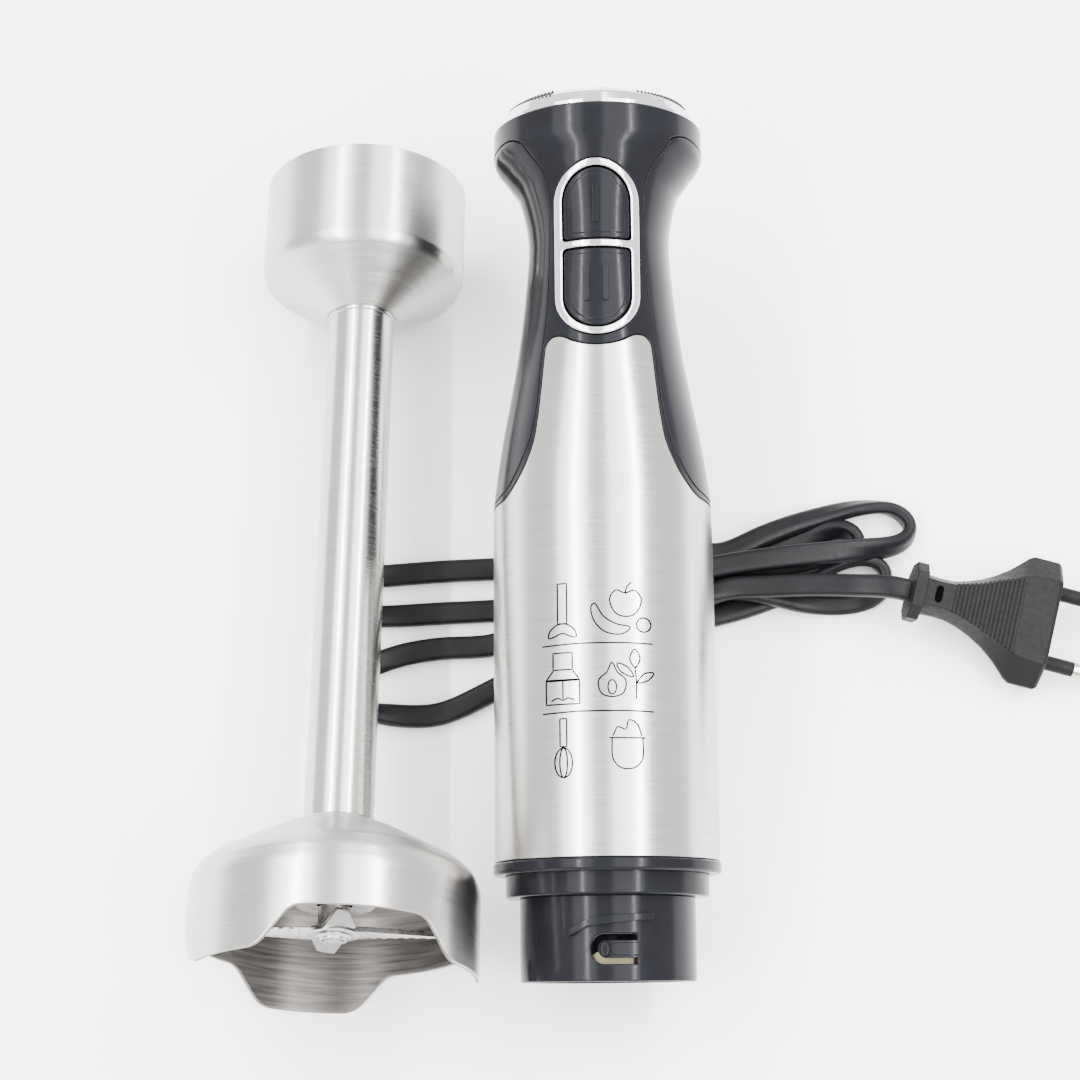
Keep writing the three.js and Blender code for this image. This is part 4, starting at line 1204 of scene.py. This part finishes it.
def plug_outline(top, side, thick, wall):
    right = [(side, -wall), (side, wall), (top, thick)]
    left = [(-y, z) for y, z in right[::-1]]
    return right + left + [(-top, -thick), (top, -thick)]


def build_plug():
    rings = [[(x, y, z) for y, z in plug_outline(*sizes)] for x, *sizes in PLUG_SECTIONS]
    ribs = []
    tops = np.array([(x, top, thick) for x, top, _, thick, _ in PLUG_SECTIONS])
    for i in range(16):
        x = 10.6 + 1.1 * i
        half = float(np.interp(x + 1, tops[:, 0], tops[:, 1]))
        thick = float(np.interp(x + 0.5, tops[:, 0], tops[:, 2]))
        for side in (1, -1):
            ribs.append(block(0.82, 2 * half + 0.5, 0.9, (x + 0.5, 0, side * (thick - 0.12))))
    sleeves = []
    axis_x = Matrix.Rotation(-math.pi / 2, 4, "Z")
    for side in (-1, 1):
        sleeve = lathe([
            (0, PLUG_LENGTH - 2, 0), (2.3, PLUG_LENGTH - 2), (2.3, PLUG_LENGTH + 0.3, 0.3),
            (1.95, PLUG_LENGTH + 0.6, 0.3), (1.95, PLUG_LENGTH + 8.6, 0.3), (0, PLUG_LENGTH + 8.6, 0),
        ], 40)
        sleeves.append(moved(sleeve[:2], Matrix.Translation((0, side * PIN_SPACING / 2, 0)) @ axis_x))
    body = piece("plug_moulding", merged(lofted(rings), *ribs), PLUG, "handle", "plug_black", "plug_body",
                 bevel=0.22, angle=24)
    covers = piece("pin_sleeves", merged(*sleeves), PLUG, "handle", "plug_black", "plug_body", angle=30)
    pins = []
    for side in (-1, 1):
        pin = lathe([(0, PLUG_LENGTH + 8.2, 0), (2.0, PLUG_LENGTH + 8.2), (2.0, PLUG_LENGTH + 18.0, 0.9),
                     (1.2, PLUG_LENGTH + 18.95, 0.7), (0, PLUG_LENGTH + 19.0, 0)], 48)
        pin = moved(pin, Matrix.Translation((0, side * PIN_SPACING / 2, 0)) @ axis_x)
        number = 1 if side < 0 else 2
        pins.append(piece(f"round_pin_{number}", pin, PLUG, "handle", "nickel", f"plug_pin_{number}"))
    # A near-black sheet just over the plug's face where its slot is: painted shade for the recess.
    slot = lofted([[(6.6 + y, x, z) for x, y in pill(4.6, 1.9, 0.4)] for z in (5.52, 5.56)])
    slot_shade = piece("plug_slot_painted_shade", slot, PLUG, "handle", "slot_shade")
    return [body, slot_shade, covers, *pins]


plug_pieces = build_plug()

# ---------------- pictograms on the sleeve
LINE = 0.36
RULE_HEIGHTS = (78.7, 62.6)


def box(half, low, high):
    return [(-half, low), (half, low), (half, high), (-half, high)]


# The drawings, each in its column's millimetres: by the column's middle, the lines that
# are curved or straight, and closed or open.
TOOLS = {
    ("straight", "closed"): [box(1.1, 83.6, 93.2), box(2.3, 72.6, 76.6), box(4.0, 64.4, 70.0),
                             box(0.8, 54.4, 61.0)],
    ("straight", "open"): [[(-2.3, 72.4), (-4.0, 70.2), (4.0, 70.2), (2.3, 72.4)], [(0, 70.0), (0, 65.6)]],
    ("curved", "closed"): [
        [(-1.1, 83.4), (-3.0, 81.9), (-3.3, 80.3), (-2.0, 80.5), (0, 81.3), (2.0, 80.5), (3.3, 80.3),
         (3.0, 81.9), (1.1, 83.4)],
        ellipse(0, 50.6, 2.1, 3.5), ellipse(0, 50.6, 0.9, 3.5)],
    ("curved", "open"): [[(-2.8, 65.2), (-1.2, 65.9), (0, 65.3), (1.2, 65.9), (2.8, 65.2)]],
}
FOODS = {
    ("straight", "open"): [[(-4.2, 56.2), (4.2, 56.2)]],
    ("curved", "closed"): [
        [(-0.1, 90.6), (-2.2, 91.3), (-3.7, 89.4), (-3.0, 86.6), (-1.4, 85.2), (1.4, 85.2), (3.0, 86.6),
         (3.7, 89.4), (2.2, 91.3)],
        [(-8.2, 87.4), (-7.4, 83.8), (-4.6, 81.2), (-0.6, 80.9), (1.0, 82.4), (-2.2, 83.2), (-5.2, 85.0),
         (-7.4, 88.2)],
        ellipse(4.2, 83.0, 1.7, 1.7),
        [(-3.4, 74.0), (-4.6, 71.8), (-6.6, 69.8), (-6.0, 66.8), (-3.4, 65.9), (-0.8, 66.8), (-0.2, 69.8),
         (-2.2, 71.8)],
        ellipse(-3.4, 68.2, 1.0, 1.7),
        [(2.0, 77.2), (0.8, 75.0), (2.0, 72.8), (3.2, 75.0)],
        [(6.4, 71.6), (4.2, 71.4), (2.6, 69.2), (5.0, 69.8)],
        [(-2.2, 73.8), (-1.4, 71.9), (1.6, 70.6), (0.4, 72.8)]],
    ("curved", "open"): [
        [(0, 90.6), (0.3, 92.0), (1.4, 93.2)],
        [(2.2, 65.4), (2.3, 69.0), (2.0, 73.0)],
        [(-3.6, 56.2), (-3.4, 51.2), (-1.6, 49.2), (1.6, 49.2), (3.4, 51.2), (3.6, 56.2)],
        [(-3.4, 56.6), (-2.2, 58.8), (-0.4, 58.2), (0.4, 60.4), (2.2, 59.6), (3.4, 56.6)]],
}
RULES = {("straight", "open"): [[(-14.2, h - 0.3), (-6, h), (6, h), (12.0, h - 0.2)] for h in RULE_HEIGHTS]}
COLUMNS = {-9.3: TOOLS, 5.8: FOODS, 0: RULES}


def strip_on_skin(line, closed):
    """A drawn line on the sleeve, as a thin strip that follows it."""
    ends = np.roll(line, -1, 0) if closed else np.vstack([line[1:], 2 * line[-1] - line[-2]])
    starts = np.roll(line, 1, 0) if closed else np.vstack([2 * line[0] - line[1], line[:-1]])
    along = unit(ends - starts)
    normal = np.stack([-along[:, 1], along[:, 0]], 1)
    rows = [line + normal * LINE / 2, line - normal * LINE / 2]
    points, normals = [], []
    for row, level in ((rows[0], -0.1), (rows[0], 0.035), (rows[1], 0.035), (rows[1], -0.1)):
        skin = facing([tuple(p) for p in row])
        p, n, _, _ = HANDLE_SKIN(skin[:, 0], skin[:, 1])
        points.append(p + n * level)
        normals.append(n)
    count = len(line)
    faces = []
    for i in range(count if closed else count - 1):
        k = (i + 1) % count
        for a, b in ((0, 1), (1, 2), (2, 3)):
            faces.append([a * count + i, b * count + i, b * count + k, a * count + k])
    return np.vstack(points), [face[::-1] for face in faces], np.vstack(normals)


def pictograms():
    marks = []
    for middle_x, drawings in COLUMNS.items():
        for (form, ends), lines in drawings.items():
            closed = ends == "closed"
            for line in lines:
                line = [(middle_x + x, u) for x, u in line]
                dense = spline(line, 0.5, closed) if form == "curved" else filled(line, 0.5, closed)
                marks.append(strip_on_skin(dense, closed))
    piece("sleeve_pictograms", merged(*marks), HANDLE, "handle", "marking")


pictograms()

# ---------------- the pieces kept from the frame
KEPT = {
    "steel": ("armature_core", "motor_can"),
    "nickel": ("motor_shaft", "dial_spindle", "head_screw_1", "head_screw_2", "drive_rod"),
    "copper": ("armature_winding", "commutator"),
    "carbon": ("left_brush", "right_brush"),
    "ferrite": ("left_magnet", "right_magnet"),
    "board": ("control_board", "rectifier_board"),
    "ivory": ("suppression_capacitor",),
    "bronze": ("output_bearing", "lower_bush", "upper_bush", "upper_rod_bush", "lower_rod_bush"),
    "rubber": ("button_seal", "lower_damper", "upper_damper", "shaft_seal"),
}


def dress_frame():
    look_of = {node: look for look, nodes in KEPT.items() for node in nodes}
    for name, node in frame["nodes"].items():
        node.data.materials.clear()
        node.data.materials.append(LOOKS[look_of.get(name, "satin_black")])


dress_frame()


# ---------------- floor and light
def area_light(name, x, height, size, power):
    """A soft box over the table, in metres, that faces straight down."""
    data = bpy.data.lights.new(name, "AREA")
    data.shape = "RECTANGLE"
    data.size, data.size_y = size
    data.energy = power
    light = bpy.data.objects.new(name, data)
    bpy.context.scene.collection.objects.link(light)
    light.location = (x, 0, height)
    light.rotation_euler = Vector((0, 0, -1)).to_track_quat("-Z", "Y").to_euler()


def make_studio():
    area_light("box_left", -0.46, 0.75, (0.56, 1.5), 18)
    area_light("box_right", 0.36, 0.75, (0.54, 1.5), 18)
    area_light("strip_left", -0.34, 0.70, (0.022, 1.4), 12)
    area_light("strip_right", 0.46, 0.70, (0.022, 1.4), 14)
    world = bpy.data.worlds.new("studio")
    world.use_nodes = True
    background = world.node_tree.nodes["Background"]
    background.inputs["Color"].default_value = (1, 1, 1, 1)
    background.inputs["Strength"].default_value = 2.2
    bpy.context.scene.world = world


def make_floor():
    mesh = bpy.data.meshes.new("floor")
    corners = [(x, y, 0) for x, y in ((-3, -3), (3, -3), (3, 3), (-3, 3))]
    mesh.from_pydata(corners, [], [(0, 1, 2, 3)])
    floor = bpy.data.objects.new("floor", mesh)
    bpy.context.scene.collection.objects.link(floor)
    finish = Finish("floor_paper", (0.96, 0.96, 0.96), 0.7, 0.0, Specular_IOR_Level=0.2)
    finish.relief(finish.noise(400, 2), 0.01, 0.2)
    mesh.materials.append(finish.material)


make_studio()
make_floor()
